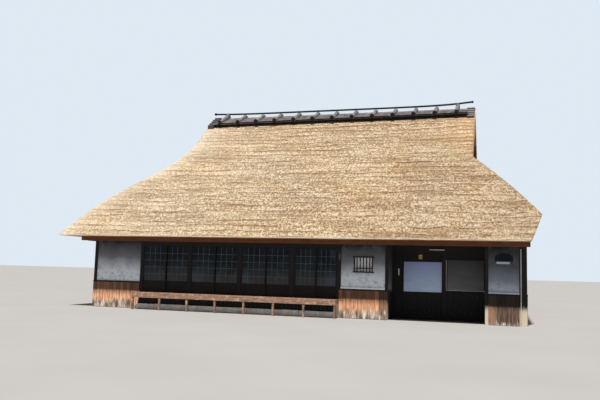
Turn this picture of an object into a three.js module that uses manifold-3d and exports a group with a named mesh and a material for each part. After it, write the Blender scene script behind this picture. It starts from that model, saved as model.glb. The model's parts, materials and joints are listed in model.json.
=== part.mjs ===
// A thatched farmhouse: a hip-and-gable thatched roof under a tiled ridge, over a timber frame with
// plaster walls, board wainscots, glazed sliding doors with a bench veranda, and a recessed entrance.
// Millimetres, +Z up. The front faces -Y. The origin is on the ground under the middle of the roof.
import * as THREE from 'three';
import { mergeVertices } from 'three/addons/utils/BufferGeometryUtils.js';
import Module from 'manifold-3d';

const wasm = await Module();
wasm.setup();

// Driving dimensions: the frame and the walls
const seam = 0.3;                 // gap between two solids that touch
const lap = 1;                    // how far joined boxes run into each other
const spare = 100;                // how far a cutting solid reaches past what it cuts
const facadeDatum = 7975;         // x of the point that facade positions are measured from
const depthHalf = 4590;           // ridge line to the outer face of the front and back posts
const wallLeft = facadeDatum - 15580;
const wallRight = facadeDatum + 190;
const postSize = 120;
const plateBottom = 2540;
const plateTop = 2660;
const sillTop = 100;
const wainscotTop = 1000;
const wainscotFoot = 10;
const boardThickness = 20;
const plasterSetback = 25;
const plasterThickness = 70;

// Thatch
const eaveHalf = 5610;            // ridge line to the eave edge
const eaveZ = plateTop;
const capJoinHalf = 790;          // ridge line to where the tiled cap starts
const capJoinZ = 7570;
const ridgeTopZ = 7990;
const slopeBulge = 270;           // rise of the thatch surface over the straight line from eave to cap
const thatchThickness = 500;
const gableFootHalf = 2880;       // ridge line to the gable's lower corners
const gableLeft = facadeDatum - 12830;
const gableRight = facadeDatum - 1550;
const gableSetback = 250;
const ledgeRise = 30;
const thatchRight = facadeDatum + 650;
const hipCornerRight = facadeDatum + 1380;   // where the right hip would end if it weren't trimmed
const trimLean = 0.39;            // the trimmed end leans in by this much for each millimetre down
// The left hip's sweep: distance out from the ridge line, and how far it then lies past the gable
const leftHipSweep = [
  [1850, 0], [2130, 60], [2380, 150], [2640, 270], [2850, 405], [3070, 580], [3390, 940], [3760, 1460],
  [3970, 1790], [4300, 2260], [4700, 2770], [5100, 3230], [5610, 3770],
];

// Gables
const gablePanelThickness = 40;
const gableRimWidth = 130;
const gableRimProud = 170;
const gableInset = 20;            // the board wall's back face, in from the setback

// Tiled cap of the ridge
const capHalf = 830;              // ridge line to the foot of the tiles
const capEaveZ = 7640;
const capPitch = Math.atan(0.64);
const capTileThickness = 75;
const beddingInset = 25;          // the bedding's side, in from the foot of the tiles
const beddingEndInset = 60;
const rowCount = 13;
const rowSpacing = 832;
const rowFirstX = facadeDatum - 12220;
const rowRadius = 85;
const rowEndRadius = 98;
const rowEndLength = 45;
const rowOverhang = 20;
const ridgeRollRadius = 70;
const ridgeRollSunk = 10;
const stackWidth = 190;
const stackOverhang = 30;
const stackDrop = 55;
const stackRise = 55;
const stackLip = 20;
const stackShelf = 90;            // the stack's underside meets the cap's this far in from its foot
const poleRadius = 38;
const poleLiftRight = 110;        // rise of the pole's ends over its middle
const poleLiftLeft = 50;
const poleOverhangLeft = 40;
const poleShortRight = 70;

// Eaves
const eaveBeamOuter = 5000;       // ridge line to the beam's outer face
const eaveBeamDepth = 120;
const eaveBeamHeight = 160;
const soffitThickness = 20;
const armHeight = 90;
const armWidth = 80;
const armInset = 200;             // the first arm's middle, in from the wall's end
const trimClearance = 15;

// Glazed doors, veranda and bench
const bayWidth = 1970;
const floorTop = 600;
const floorThickness = 40;
const trackTop = 640;
const doorHeadZ = 2370;
const leafThickness = 30;
const leafOverlap = 60;
const runningGap = 5;
const benchDepth = 520;
const benchTop = 623;
const benchBoard = 28;
const benchEdgeFoot = 440;
const benchEdgeThickness = 20;
const benchLegSize = 70;
const benchRailFoot = 500;

// Windows
const windowZs = [1575, 2080];
const paneThickness = 15;
const paneLap = 40;
const backWindowHalf = 330;
const endWindow = [-440, 220];

// Entrance
const recessDepth = 950;
const lintelZ = 2286;
const lintelTop = 2530;
const lintelDepth = 100;
const thresholdTop = 50;
const entranceBoard = 50;
const entranceDoorThickness = 35;
const doorLap = 40;
const ceilingThickness = 25;
const earthTop = 30;

// Colours and finishes
const finish = (color, roughness, metalness = 0) =>
  new THREE.MeshStandardMaterial({ color, roughness, metalness });
const thatch = () => finish(0xcda573, 0.95);
const darkTimber = () => finish(0x3a2a20, 0.8);
const eaveTimber = () => finish(0x4b2a1a, 0.8);
const plaster = () => finish(0xb4b6b8, 0.9);
const paper = () => finish(0xd8d8d4, 0.9);
const boards = () => finish(0x9a5f3c, 0.85);
const roofTile = () => finish(0x6e6664, 0.7);
const glass = () => finish(0x1b2126, 0.15);

// Solids
function toSolid(geometry) {
  const bare = geometry.clone();
  bare.deleteAttribute('normal');
  bare.deleteAttribute('uv');
  const merged = mergeVertices(bare, 1e-3);
  return new wasm.Manifold(new wasm.Mesh({
    numProp: 3,
    vertProperties: new Float32Array(merged.attributes.position.array),
    triVerts: new Uint32Array(merged.index.array),
  }));
}

function toMesh(name, solid, material) {
  const data = solid.getMesh();
  const geometry = new THREE.BufferGeometry();
  geometry.setAttribute('position', new THREE.BufferAttribute(data.vertProperties, 3));
  geometry.setIndex(new THREE.BufferAttribute(data.triVerts, 1));
  geometry.computeVertexNormals();
  const mesh = new THREE.Mesh(geometry, material);
  mesh.name = name;
  return mesh;
}

function blockGeometry([x0, x1], [y0, y1], [z0, z1]) {
  const geometry = new THREE.BoxGeometry(x1 - x0, y1 - y0, z1 - z0);
  geometry.translate((x0 + x1) / 2, (y0 + y1) / 2, (z0 + z1) / 2);
  return geometry;
}

const block = (xs, ys, zs) => toSolid(blockGeometry(xs, ys, zs));

const union = (solids) => solids.reduce((sum, solid) => sum.add(solid));

const around = (middle, width) => [middle - width / 2, middle + width / 2];

// A span of distances from the ridge line, as y on one side of it
const onSide = (side, from, to) => (side < 0 ? [-to, -from] : [from, to]);

function outlineShape(points) {
  return new THREE.Shape(points.map(([u, v]) => new THREE.Vector2(u, v)));
}

// Extrudes an outline of (y, z) points along X
function prismAlongX(points, x0, x1) {
  const geometry = new THREE.ExtrudeGeometry(outlineShape(points), { depth: x1 - x0, bevelEnabled: false });
  geometry.applyMatrix4(new THREE.Matrix4().makeBasis(
    new THREE.Vector3(0, 1, 0), new THREE.Vector3(0, 0, 1), new THREE.Vector3(1, 0, 0)));
  geometry.translate(x0, 0, 0);
  return toSolid(geometry);
}

// Extrudes an outline of (x, z) points along Y
function prismAlongY(points, y0, y1) {
  const geometry = new THREE.ExtrudeGeometry(outlineShape(points), { depth: y1 - y0, bevelEnabled: false });
  geometry.rotateX(Math.PI / 2);
  geometry.translate(0, y1, 0);
  return toSolid(geometry);
}

// Extrudes an outline of (x, y) points along Z
function prismAlongZ(points, z0, z1) {
  const geometry = new THREE.ExtrudeGeometry(outlineShape(points), { depth: z1 - z0, bevelEnabled: false });
  geometry.translate(0, 0, z0);
  return toSolid(geometry);
}

const house = new THREE.Group();

function add(name, solid, material) {
  house.add(toMesh(name, solid, material));
}

function addBlock(name, xs, ys, zs, material) {
  const mesh = new THREE.Mesh(blockGeometry(xs, ys, zs), material);
  mesh.name = name;
  house.add(mesh);
}

function stepsBetween(from, to, count) {
  return Array.from({ length: count + 1 }, (_, i) => from + (to - from) * i / count);
}

// Roof slope: a shallow arc from the eave edge up to the tiled cap
const chordRun = eaveHalf - capJoinHalf;
const chordRise = capJoinZ - eaveZ;
const chordLength = Math.hypot(chordRun, chordRise);
const slopeRadius = (chordLength * chordLength / 4 + slopeBulge * slopeBulge) / (2 * slopeBulge);
const arcCentreOut = (eaveHalf + capJoinHalf) / 2 - chordRise / chordLength * (slopeRadius - slopeBulge);
const arcCentreZ = (eaveZ + capJoinZ) / 2 - chordRun / chordLength * (slopeRadius - slopeBulge);
const arcSteps = 10;

// Height of the slope at a distance out from the ridge line, at a depth under the thatch surface
function slopeZ(out, depth = 0) {
  const radius = slopeRadius - depth;
  return arcCentreZ + Math.sqrt(radius * radius - (out - arcCentreOut) ** 2);
}

// Distance out from the ridge line at which the slope has a height
function slopeOut(z, depth = 0) {
  const radius = slopeRadius - depth;
  return arcCentreOut + Math.sqrt(radius * radius - (z - arcCentreZ) ** 2);
}

const gableFootZ = slopeZ(gableFootHalf);
const ledgeZ = gableFootZ + ledgeRise;
const ledgeOut = slopeOut(ledgeZ);
const hipRunRight = hipCornerRight - gableRight;
const hipDepth = eaveHalf - gableFootHalf;
const hollowBase = eaveZ - 60;
const hollowFoot = slopeOut(hollowBase, thatchThickness);
const roofTopZ = capEaveZ + 2 * capHalf;
const roofReach = 2 * eaveHalf;

// The thatch's outer cross-section, over the whole depth of the house
function outerSection() {
  const rising = stepsBetween(eaveHalf, capJoinHalf, arcSteps).map((out) => [-out, slopeZ(out)]);
  const falling = rising.map(([y, z]) => [-y, z]).reverse();
  return [...rising, [0, ridgeTopZ], ...falling];
}

function innerSection(depth) {
  const rising = stepsBetween(slopeOut(hollowBase, depth), 0, arcSteps).map((out) => [-out, slopeZ(out, depth)]);
  const falling = rising.slice(0, -1).map(([y, z]) => [-y, z]).reverse();
  return [...rising, ...falling];
}

// x of the left hip's surface, by its distance out from the ridge line
function hipOutLeft(out) {
  const last = leftHipSweep.length - 1;
  const next = Math.max(1, Math.min(last, leftHipSweep.findIndex(([at]) => at >= out)));
  const [fromOut, fromReach] = leftHipSweep[next - 1];
  const [toOut, toReach] = leftHipSweep[next];
  return gableLeft - fromReach - (toReach - fromReach) * (out - fromOut) / (toOut - fromOut);
}

const hipOutRight = (out) => gableRight + (out - gableFootHalf) * hipRunRight / hipDepth;
const trimOut = gableFootHalf + (thatchRight - gableRight) * hipDepth / hipRunRight;
const trimFoot = thatchRight - (slopeZ(trimOut) - eaveZ) * trimLean;

function outerLengthwise() {
  const left = leftHipSweep.map(([out]) => [hipOutLeft(out), slopeZ(out)]).reverse();
  const right = stepsBetween(gableFootHalf, trimOut, 5).map((out) => [hipOutRight(out), slopeZ(out)]);
  return [...left, [gableLeft, roofTopZ], [gableRight, roofTopZ], ...right, [trimFoot, eaveZ]];
}

// The hollow under the thatch, open at each gable over the ledge that the hip ends in
function innerLengthwise() {
  const shiftRight = wallRight - postSize / 2 - hipOutRight(hollowFoot);
  const ledgeRight = gableRight - gableSetback;
  const outAtRight = gableFootHalf - (gableSetback + shiftRight) * hipDepth / hipRunRight;
  const left = stepsBetween(hollowFoot, ledgeOut - gableSetback, 8)
    .map((out) => [hipOutLeft(out), slopeZ(out, thatchThickness)]);
  const right = stepsBetween(outAtRight, hollowFoot, 6)
    .map((out) => [hipOutRight(out) + shiftRight, slopeZ(out, thatchThickness)]);
  const openLeft = hipOutLeft(ledgeOut) - gableSetback;
  const openRight = gableRight + gableSetback;
  return [
    ...left, [gableLeft + gableSetback, ledgeZ], [openLeft, ledgeZ], [openLeft, roofTopZ],
    [openRight, roofTopZ], [openRight, ledgeZ], [ledgeRight, ledgeZ], ...right,
  ];
}

// Half of a hip end's plan, from its ledge under the gable out past the eave
function hipPlanLeft() {
  const outs = [ledgeOut, ...leftHipSweep.map(([out]) => out).filter((out) => out > ledgeOut)];
  const far = gableSetback + spare;
  return [
    [gableLeft + gableSetback, ledgeOut - gableSetback],
    ...outs.map((out) => [hipOutLeft(out), out]),
    [hipOutLeft(eaveHalf) - far, eaveHalf + far],
  ];
}

function hipPlanRight() {
  const lean = hipDepth / hipRunRight;
  return [
    [gableRight - gableSetback, gableFootHalf - gableSetback * lean],
    [hipCornerRight + gableSetback, eaveHalf + gableSetback * lean],
  ];
}

// Both halves of a plan, each grown by a seam where it meets the slopes
function hipPrism(half, side, grow, zs) {
  const grown = half.map(([x, out], i) => [i ? x : x - side * grow, out + grow]);
  const plan = [...grown.map(([x, out]) => [x, -out]), ...grown.map(([x, out]) => [x, out]).reverse()];
  return prismAlongZ(side > 0 ? plan : plan.reverse(), ...zs);
}

function addThatch() {
  const outer = prismAlongX(outerSection(), -roofReach, roofReach)
    .intersect(prismAlongY(outerLengthwise(), -eaveHalf - spare, eaveHalf + spare));
  const hollow = prismAlongX(innerSection(thatchThickness), -roofReach, roofReach)
    .intersect(prismAlongY(innerLengthwise(), -eaveHalf, eaveHalf));
  const shell = outer.subtract(hollow);
  const ends = [[-1, hipPlanLeft(), 'thatch_left'], [1, hipPlanRight(), 'thatch_right']];
  let slopes = shell;
  for (const [side, half, name] of ends) {
    add(name, shell.intersect(hipPrism(half, side, 0, [hollowBase, ledgeZ])), thatch());
    slopes = slopes.subtract(hipPrism(half, side, seam, [hollowBase, ledgeZ + seam]));
  }
  for (const [side, name] of [[-1, 'thatch_front'], [1, 'thatch_back']]) {
    const ys = onSide(side, seam / 2, eaveHalf + spare);
    add(name, slopes.intersect(block([-roofReach, roofReach], ys, [0, roofTopZ])), thatch());
  }
}

// Board wall in each gable with a rim board round its edge
function addGables() {
  const above = block([-roofReach, roofReach], [-eaveHalf, eaveHalf], [ledgeZ + seam, roofTopZ]);
  const section = innerSection(thatchThickness + seam);
  const rimHole = innerSection(thatchThickness + gableRimWidth);
  for (const [side, gable, name] of [[-1, gableLeft, 'gable_left'], [1, gableRight, 'gable_right']]) {
    const back = gable - side * (gableSetback - gableInset);
    const front = back + side * gablePanelThickness;
    const rimFront = front + side * gableRimProud;
    const panelXs = [back, front].sort((a, b) => a - b);
    const rimXs = [back, rimFront].sort((a, b) => a - b);
    const rim = prismAlongX(section, ...rimXs)
      .subtract(prismAlongX(rimHole, rimXs[0] - spare, rimXs[1] + spare));
    add(name, prismAlongX(section, ...panelXs).add(rim).intersect(above), darkTimber());
  }
}

// Ridge: a bedding layer, the tiled cap with its cross rows and stacked ends, and the pole on top
const capStartX = gableLeft;
const capEndX = gableRight;
const stackFootHalf = capHalf - stackShelf;
const tanPitch = Math.tan(capPitch);
const apexZ = capEaveZ + capHalf * tanPitch;
const capTopZ = apexZ + capTileThickness;
const stackSpans = [[capStartX - lap, capStartX + stackWidth], [capEndX - stackWidth, capEndX + lap]];

function addBedding() {
  const half = capHalf - beddingInset;
  const top = apexZ - seam;
  const section = [
    [-half, slopeZ(half) + seam], [-capJoinHalf, capJoinZ + seam], [0, ridgeTopZ + seam],
    [capJoinHalf, capJoinZ + seam], [half, slopeZ(half) + seam], [half, top - half * tanPitch], [0, top],
    [-half, top - half * tanPitch],
  ];
  const notches = stackSpans.flatMap(([x0, x1]) => [-1, 1].map((side) => block(
    [x0 - seam, x1 + seam], onSide(side, stackFootHalf - seam, capHalf), [eaveZ, apexZ])));
  const bedding = prismAlongX(section, capStartX + beddingEndInset, capEndX - beddingEndInset);
  add('ridge_bedding', bedding.subtract(union(notches)), finish(0x2d241e, 0.95));
}

// One side of a cross row: a round run of tiles lying down the cap
function crossRow(x, side, slant, radius, from) {
  const geometry = new THREE.CylinderGeometry(radius, radius, slant - from, 14);
  geometry.translate(0, -(slant + from) / 2, 0);
  geometry.rotateX(side < 0 ? capPitch : Math.PI - capPitch);
  geometry.translate(x, 0, capTopZ);
  return toSolid(geometry);
}

function crossRows() {
  const slant = (capHalf + rowOverhang) / Math.cos(capPitch);
  const rows = [];
  for (let i = 0; i < rowCount; i += 1) {
    const x = rowFirstX + i * rowSpacing;
    for (const side of [-1, 1]) {
      rows.push(crossRow(x, side, slant, rowRadius, 0));
      rows.push(crossRow(x, side, slant, rowEndRadius, slant - rowEndLength));
    }
    const crown = new THREE.SphereGeometry(rowRadius, 16, 8);
    crown.translate(x, 0, capTopZ);
    rows.push(toSolid(crown));
  }
  return rows;
}

function addRidgeTiles() {
  const cap = [
    [-capHalf, capEaveZ], [0, apexZ], [capHalf, capEaveZ],
    [capHalf, capEaveZ + capTileThickness], [0, capTopZ], [-capHalf, capEaveZ + capTileThickness],
  ];
  const underCap = [[-capHalf, eaveZ], [capHalf, eaveZ], [capHalf, capEaveZ], [0, apexZ], [-capHalf, capEaveZ]];
  const roll = new THREE.CylinderGeometry(ridgeRollRadius, ridgeRollRadius, capEndX - capStartX, 14);
  roll.rotateZ(Math.PI / 2);
  roll.translate((capStartX + capEndX) / 2, 0, capTopZ - ridgeRollSunk);
  const stackHalf = [
    [stackFootHalf, capEaveZ + stackShelf * tanPitch],
    [capHalf - 2 * stackOverhang, capEaveZ - stackDrop + stackLip],
    [capHalf + stackOverhang, capEaveZ - stackDrop],
    [capHalf + stackOverhang, capEaveZ + capTileThickness + stackRise - stackLip],
  ];
  const stack = [
    [0, apexZ], ...stackHalf, [0, capTopZ + stackRise], ...stackHalf.map(([y, z]) => [-y, z]).reverse(),
  ];
  add('ridge_tiles', union([
    prismAlongX(cap, capStartX, capEndX),
    union([...crossRows(), toSolid(roll)]).subtract(prismAlongX(underCap, capStartX, capEndX)),
    ...stackSpans.map(([x0, x1]) => prismAlongX(stack, x0, x1)),
  ]), roofTile());
}

function addPole() {
  const restZ = capTopZ + rowRadius + poleRadius + seam;
  const start = capStartX - poleOverhangLeft;
  const end = capEndX - poleShortRight;
  const middle = (start + end) / 2;
  const points = stepsBetween(start, end, 16).map((x) => {
    const reach = (x - middle) / (end - middle);
    const lift = (reach > 0 ? poleLiftRight : poleLiftLeft) * reach ** 6;
    return new THREE.Vector3(x, 0, restZ + lift);
  });
  const section = new THREE.Shape();
  section.absarc(0, 0, poleRadius, 0, 2 * Math.PI);
  const pole = new THREE.ExtrudeGeometry(section, {
    steps: 24, curveSegments: 6, extrudePath: new THREE.CatmullRomCurve3(points), bevelEnabled: false,
  });
  add('ridge_pole', toSolid(pole), finish(0x201c1c, 0.6));
}

addThatch();
addGables();
addBedding();
addRidgeTiles();
addPole();

// Eaves: a beam under the thatch edge on arms from the wall, with a board soffit over them
const soffitZs = [eaveZ - seam - soffitThickness, eaveZ - seam];
const armZs = [soffitZs[0] - armHeight, soffitZs[1] - lap];
const eaveBeamZs = [eaveZ - eaveBeamHeight, soffitZs[1]];
const eaveEndLeft = hipOutLeft(eaveBeamOuter);
const eaveEndRight = trimFoot - trimClearance;

function addEaves() {
  const beamInner = eaveBeamOuter - eaveBeamDepth;
  const wallFace = depthHalf + seam;
  const armPlaces = stepsBetween(wallLeft + armInset, wallRight - armInset, 9);
  for (const [side, name] of [[-1, 'front_eave'], [1, 'back_eave']]) {
    const beamXs = [eaveEndLeft, eaveEndRight];
    add(name, union([
      block(beamXs, onSide(side, beamInner, eaveBeamOuter), eaveBeamZs),
      block(beamXs, onSide(side, wallFace, beamInner + lap), soffitZs),
      ...armPlaces.map((x) => block(around(x, armWidth), onSide(side, wallFace, beamInner + lap), armZs)),
    ]), eaveTimber());
  }
  const ys = [-depthHalf + seam, depthHalf - seam];
  const innerX = eaveEndLeft + eaveBeamDepth;
  const armYs = stepsBetween(ys[0] + armInset, ys[1] - armInset, 6);
  const armXs = [innerX - lap, wallLeft - seam];
  add('left_eave', union([
    block([eaveEndLeft, innerX], ys, eaveBeamZs),
    block(armXs, ys, soffitZs),
    ...armYs.map((y) => block(armXs, around(y, armWidth), armZs)),
  ]), eaveTimber());
}

addEaves();

// Timber frames of the back and the two ends: a ground sill, posts and a plate
const frontFace = -depthHalf;
const frontInner = frontFace + postSize;
const backInner = depthHalf - postSize;
const frameZs = [0, plateTop - lap];
const plateZs = [plateBottom, plateTop - lap];
const studZs = [sillTop - lap, plateBottom + lap];
const backPosts = stepsBetween(wallLeft + postSize / 2, wallRight - postSize / 2, 6);
const endPosts = [-1750, 1560];

function addBackFrame() {
  const xs = [wallLeft, wallRight];
  const ys = [backInner, depthHalf];
  add('back_frame', union([
    block(xs, ys, [0, sillTop]),
    block(xs, ys, plateZs),
    ...backPosts.map((x) => block(around(x, postSize), ys, studZs)),
  ]), darkTimber());
}

function addEndFrame(name, xs, cornerXs) {
  const ys = [frontFace, backInner - seam];
  add(name, union([
    block(xs, ys, [0, sillTop]),
    block(xs, ys, plateZs),
    block(cornerXs, [frontFace, frontInner], frameZs),
    block(xs, [ys[1] - postSize, ys[1]], studZs),
    ...endPosts.map((y) => block(xs, around(y, postSize), studZs)),
  ]), darkTimber());
}

const leftXs = [wallLeft, wallLeft + postSize];
const rightXs = [wallRight - postSize, wallRight];
const rightCornerXs = [facadeDatum - 45, wallRight];
addBackFrame();
addEndFrame('left_frame', leftXs, leftXs);
addEndFrame('right_frame', rightXs, rightCornerXs);

// Front line: the plate, the posts and the glazed doors' lintel
const postOne = [facadeDatum - 7720, facadeDatum - 7547];
const postTwo = [facadeDatum - 6018, facadeDatum - 5871];
const postThree = [facadeDatum - 4345, facadeDatum - 4250];
const postFive = [facadeDatum - 1102, facadeDatum - 1000];
const verandaPosts = [3, 2, 1].map((i) => around(facadeDatum - 7635 - i * bayWidth, postSize));
const verandaXs = [verandaPosts[0][0], postTwo[0] - seam];
const frontYs = [frontFace, frontInner];
const postZs = [0, plateBottom - seam];

function addFrontFrame() {
  addBlock('front_plate', [leftXs[1] + seam, rightCornerXs[0] - seam], frontYs, plateZs, darkTimber());
  addBlock('post_2', postTwo, frontYs, postZs, darkTimber());
  addBlock('post_3', postThree, frontYs, postZs, darkTimber());
  addBlock('post_5', postFive, frontYs, postZs, darkTimber());
  add('veranda_frame', union([
    ...[...verandaPosts, postOne].map((xs) => block(xs, frontYs, postZs)),
    block(verandaXs, frontYs, [doorHeadZ, postZs[1]]),
    block(verandaXs, frontYs, [floorTop + seam, trackTop]),
  ]), darkTimber());
}

addFrontFrame();

// Glazed doors: two leaves in the bay beside the plaster wall, and a closed pair in each other bay
const outerLeafY = frontFace + plasterSetback / 2;
const outerLeafYs = [outerLeafY, outerLeafY + leafThickness];
const innerLeafYs = [outerLeafYs[1] + 2 * runningGap, outerLeafYs[1] + 2 * runningGap + leafThickness];

function addGlazedDoors() {
  const leafZs = [trackTop + seam, doorHeadZ - runningGap];
  const openXs = [postOne[1] + runningGap, postTwo[0] - runningGap];
  const middle = (openXs[0] + openXs[1]) / 2;
  addBlock('glass_door_left', [openXs[0], middle + leafOverlap / 2], outerLeafYs, leafZs, glass());
  addBlock('glass_door_right', [middle - leafOverlap / 2, openXs[1]], innerLeafYs, leafZs, glass());
  const posts = [...verandaPosts, postOne];
  verandaPosts.forEach(([, x0], i) => {
    addBlock(`glass_doors_bay_${4 - i}`, [x0 + seam, posts[i + 1][0] - seam], [outerLeafYs[0], innerLeafYs[1]],
      [trackTop + seam, doorHeadZ - seam], glass());
  });
}

addGlazedDoors();

// Plaster walls of the front with their windows, and the board wainscots
const plasterYs = [frontFace + plasterSetback, frontFace + plasterSetback + plasterThickness];
const barredWindowXs = [facadeDatum - 5425, facadeDatum - 4770];
const archWindow = { middle: facadeDatum - 512, half: 275, foot: 2030, crown: 2310, side: 110 };
const wainscotStart = facadeDatum - 5930;
const boardYs = [frontFace - boardThickness - seam, frontFace - seam];
const boardZs = [wainscotFoot, wainscotTop];

function archOutline(grow) {
  const { middle, half, foot, crown, side } = archWindow;
  const reach = half + grow;
  const spring = foot + side;
  const arc = stepsBetween(0, Math.PI, 12).map((a) => [
    middle + reach * Math.cos(a), spring + (crown + grow - spring) * Math.sin(a)]);
  return [[middle - reach, foot - grow], [middle + reach, foot - grow], ...arc];
}

function addFrontWalls() {
  const holeYs = [plasterYs[0] - spare, plasterYs[1] + spare];
  const paneYs = [plasterYs[1] - 2 * paneThickness, plasterYs[1] - paneThickness];
  const wallOne = block([postTwo[1] + seam, postThree[0] - seam], plasterYs, postZs);
  add('plaster_wall_1', wallOne.subtract(block(barredWindowXs, holeYs, windowZs)), plaster());
  addBlock('barred_window', [barredWindowXs[0] + seam, barredWindowXs[1] - seam], paneYs,
    [windowZs[0] + seam, windowZs[1] - seam], paper());
  const wallTwo = block([postFive[1] + seam, rightCornerXs[0] - seam], plasterYs, postZs);
  add('plaster_wall_2', wallTwo.subtract(prismAlongY(archOutline(0), ...holeYs)), plaster());
  add('arched_window', prismAlongY(archOutline(-seam), ...paneYs), glass());
  addBlock('plaster_wall_left', [leftXs[1] + seam, verandaXs[0] - seam], plasterYs, postZs, plaster());

  addBlock('wainscot_1', [wainscotStart, postThree[1]], boardYs, boardZs, boards());
  addBlock('wainscot_2', [postFive[1], rightCornerXs[0]], boardYs, boardZs, boards());
  addBlock('wainscot_left', [wallLeft, verandaXs[0] - seam], boardYs, boardZs, boards());
  addBlock('veranda_skirt', verandaXs, boardYs, [wainscotFoot, floorTop], boards());
}

addFrontWalls();

// Back and end walls: plaster between the frames' sill and plate, boards over the lower part
const endPaneZs = [windowZs[0] - paneLap, windowZs[1] + paneLap];
const backPlasterYs = [backInner - plasterThickness - seam, backInner - seam];
const backPaneYs = [backPlasterYs[0] - paneThickness - seam, backPlasterYs[0] - seam];
const leftPlasterXs = [leftXs[1] + seam, leftXs[1] + seam + plasterThickness];
const rightPlasterXs = [rightXs[0] - seam - plasterThickness, rightXs[0] - seam];

function addOtherWalls() {
  const plasterZs = [sillTop + seam, plateBottom - seam];
  const windowMiddles = [1, 3, 5].map((bay) => (backPosts[bay] + backPosts[bay + 1]) / 2);
  const holes = windowMiddles.map((x) => block(around(x, 2 * backWindowHalf), [0, depthHalf], windowZs));
  add('back_wall', block([leftXs[1] + seam, rightXs[0] - seam], backPlasterYs, plasterZs).subtract(union(holes)),
    plaster());
  addBlock('back_wainscot', [wallLeft, wallRight], [depthHalf + seam, depthHalf + seam + boardThickness], boardZs,
    boards());
  const reach = backWindowHalf + paneLap;
  addBlock('back_windows', [windowMiddles[0] - reach, windowMiddles[2] + reach], backPaneYs, endPaneZs, paper());

  const endYs = [frontInner + seam, backPaneYs[0] - seam];
  const leftHole = block([wallLeft - spare, 0], endWindow, windowZs);
  add('left_wall', block(leftPlasterXs, endYs, plasterZs).subtract(leftHole), plaster());
  const leftPaneX = leftPlasterXs[1] + seam;
  addBlock('left_window', [leftPaneX, leftPaneX + paneThickness], [endWindow[0] - paneLap, endWindow[1] + paneLap],
    endPaneZs, paper());
  addBlock('right_wall', rightPlasterXs, endYs, plasterZs, plaster());
  const sideBoardYs = [frontFace, depthHalf];
  addBlock('left_wainscot', [wallLeft - boardThickness - seam, wallLeft - seam], sideBoardYs, boardZs, boards());
  addBlock('right_wainscot', [wallRight + seam, wallRight + seam + boardThickness], sideBoardYs, boardZs, boards());
}

addOtherWalls();

// Recessed entrance: side walls, ceiling, lintel, a fixed board, the post, the sliding door and a panel bay
const hallXs = [postThree[1], postFive[0]];
const hallOuterXs = [hallXs[0] - plasterThickness, hallXs[1] + plasterThickness];
const jamb = facadeDatum - 3920;
const doorPost = [facadeDatum - 2536, facadeDatum - 2416];
const recessY = frontFace + recessDepth;
const frameYs = [recessY, recessY + entranceBoard];
const doorY = frameYs[1] + 2 * runningGap;
const doorYs = [doorY, doorY + entranceDoorThickness];
const thresholdYs = [recessY, doorYs[1] + 2 * runningGap];

function addEntrance() {
  const returnYs = [frontInner + seam, recessY + lintelDepth];
  const sideZs = [0, lintelTop - seam];
  addBlock('entrance_wall_left', [hallOuterXs[0], hallXs[0]], returnYs, sideZs, plaster());
  addBlock('entrance_wall_right', [hallXs[1], hallOuterXs[1]], returnYs, sideZs, plaster());
  addBlock('entrance_ceiling', hallOuterXs, returnYs, [lintelTop, lintelTop + ceilingThickness], eaveTimber());
  const lineXs = [hallXs[0] + seam, hallXs[1] - seam];
  addBlock('entrance_lintel', lineXs, [recessY, recessY + lintelDepth], [lintelZ, sideZs[1]], darkTimber());
  addBlock('entrance_threshold', lineXs, thresholdYs, [0, thresholdTop], darkTimber());
  const fixedZs = [thresholdTop + seam, lintelZ - seam];
  addBlock('entrance_side_board', [lineXs[0], jamb], frameYs, fixedZs, darkTimber());
  addBlock('entrance_post', doorPost, frameYs, fixedZs, darkTimber());
  addBlock('entrance_panel_bay', [doorPost[1] + seam, lineXs[1]], frameYs, fixedZs, finish(0x2c241f, 0.85));
  addBlock('entrance_door', [jamb - doorLap, doorPost[0] + doorLap], doorYs,
    [thresholdTop + seam, lintelZ - runningGap], finish(0x4a4a50, 0.8));
}

addEntrance();

// Floors: the raised floor on its beams and legs, and the tamped earth floor of the entrance hall
const innerYs = [frontInner + seam, backPaneYs[0] - 4 * lap];
const raisedXs = [leftPlasterXs[1] + 2 * seam + paneThickness, hallOuterXs[0] - seam];
const floorBeam = { width: 100, height: 120, inset: 60, joistWidth: 90, legWidth: 80, clearance: 20 };

function addFloors() {
  const { width, height, inset, joistWidth, legWidth, clearance } = floorBeam;
  const underXs = [raisedXs[0] + clearance, raisedXs[1] - clearance];
  const beamYs = stepsBetween(innerYs[0] + inset, innerYs[1] - inset, 2);
  const legXs = stepsBetween(underXs[0] + inset, underXs[1] - inset, 3);
  const beamTop = floorTop - floorThickness - seam;
  const beamZs = [beamTop - height, beamTop];
  const joistZs = [beamZs[0] + clearance, beamTop - clearance];
  addBlock('raised_floor', raisedXs, innerYs, [floorTop - floorThickness, floorTop], finish(0x7a5636, 0.7));
  add('floor_frame', union([
    ...beamYs.map((y) => block(underXs, around(y, width), beamZs)),
    ...legXs.map((x) => block(around(x, joistWidth), [beamYs[0], beamYs[2]], joistZs)),
    ...legXs.flatMap((x) => beamYs.map((y) => block(around(x, legWidth), around(y, legWidth), [0, joistZs[0]]))),
  ]), darkTimber());
  const earth = block([hallOuterXs[0] + seam, rightPlasterXs[0] - seam], innerYs, [0, earthTop])
    .subtract(block([hallOuterXs[0] - lap, hallOuterXs[1] + lap], [innerYs[0] - spare, thresholdYs[1] + lap],
      [-spare, spare]));
  add('earth_floor', earth, finish(0x6e6256, 0.95));
}

addFloors();

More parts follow.
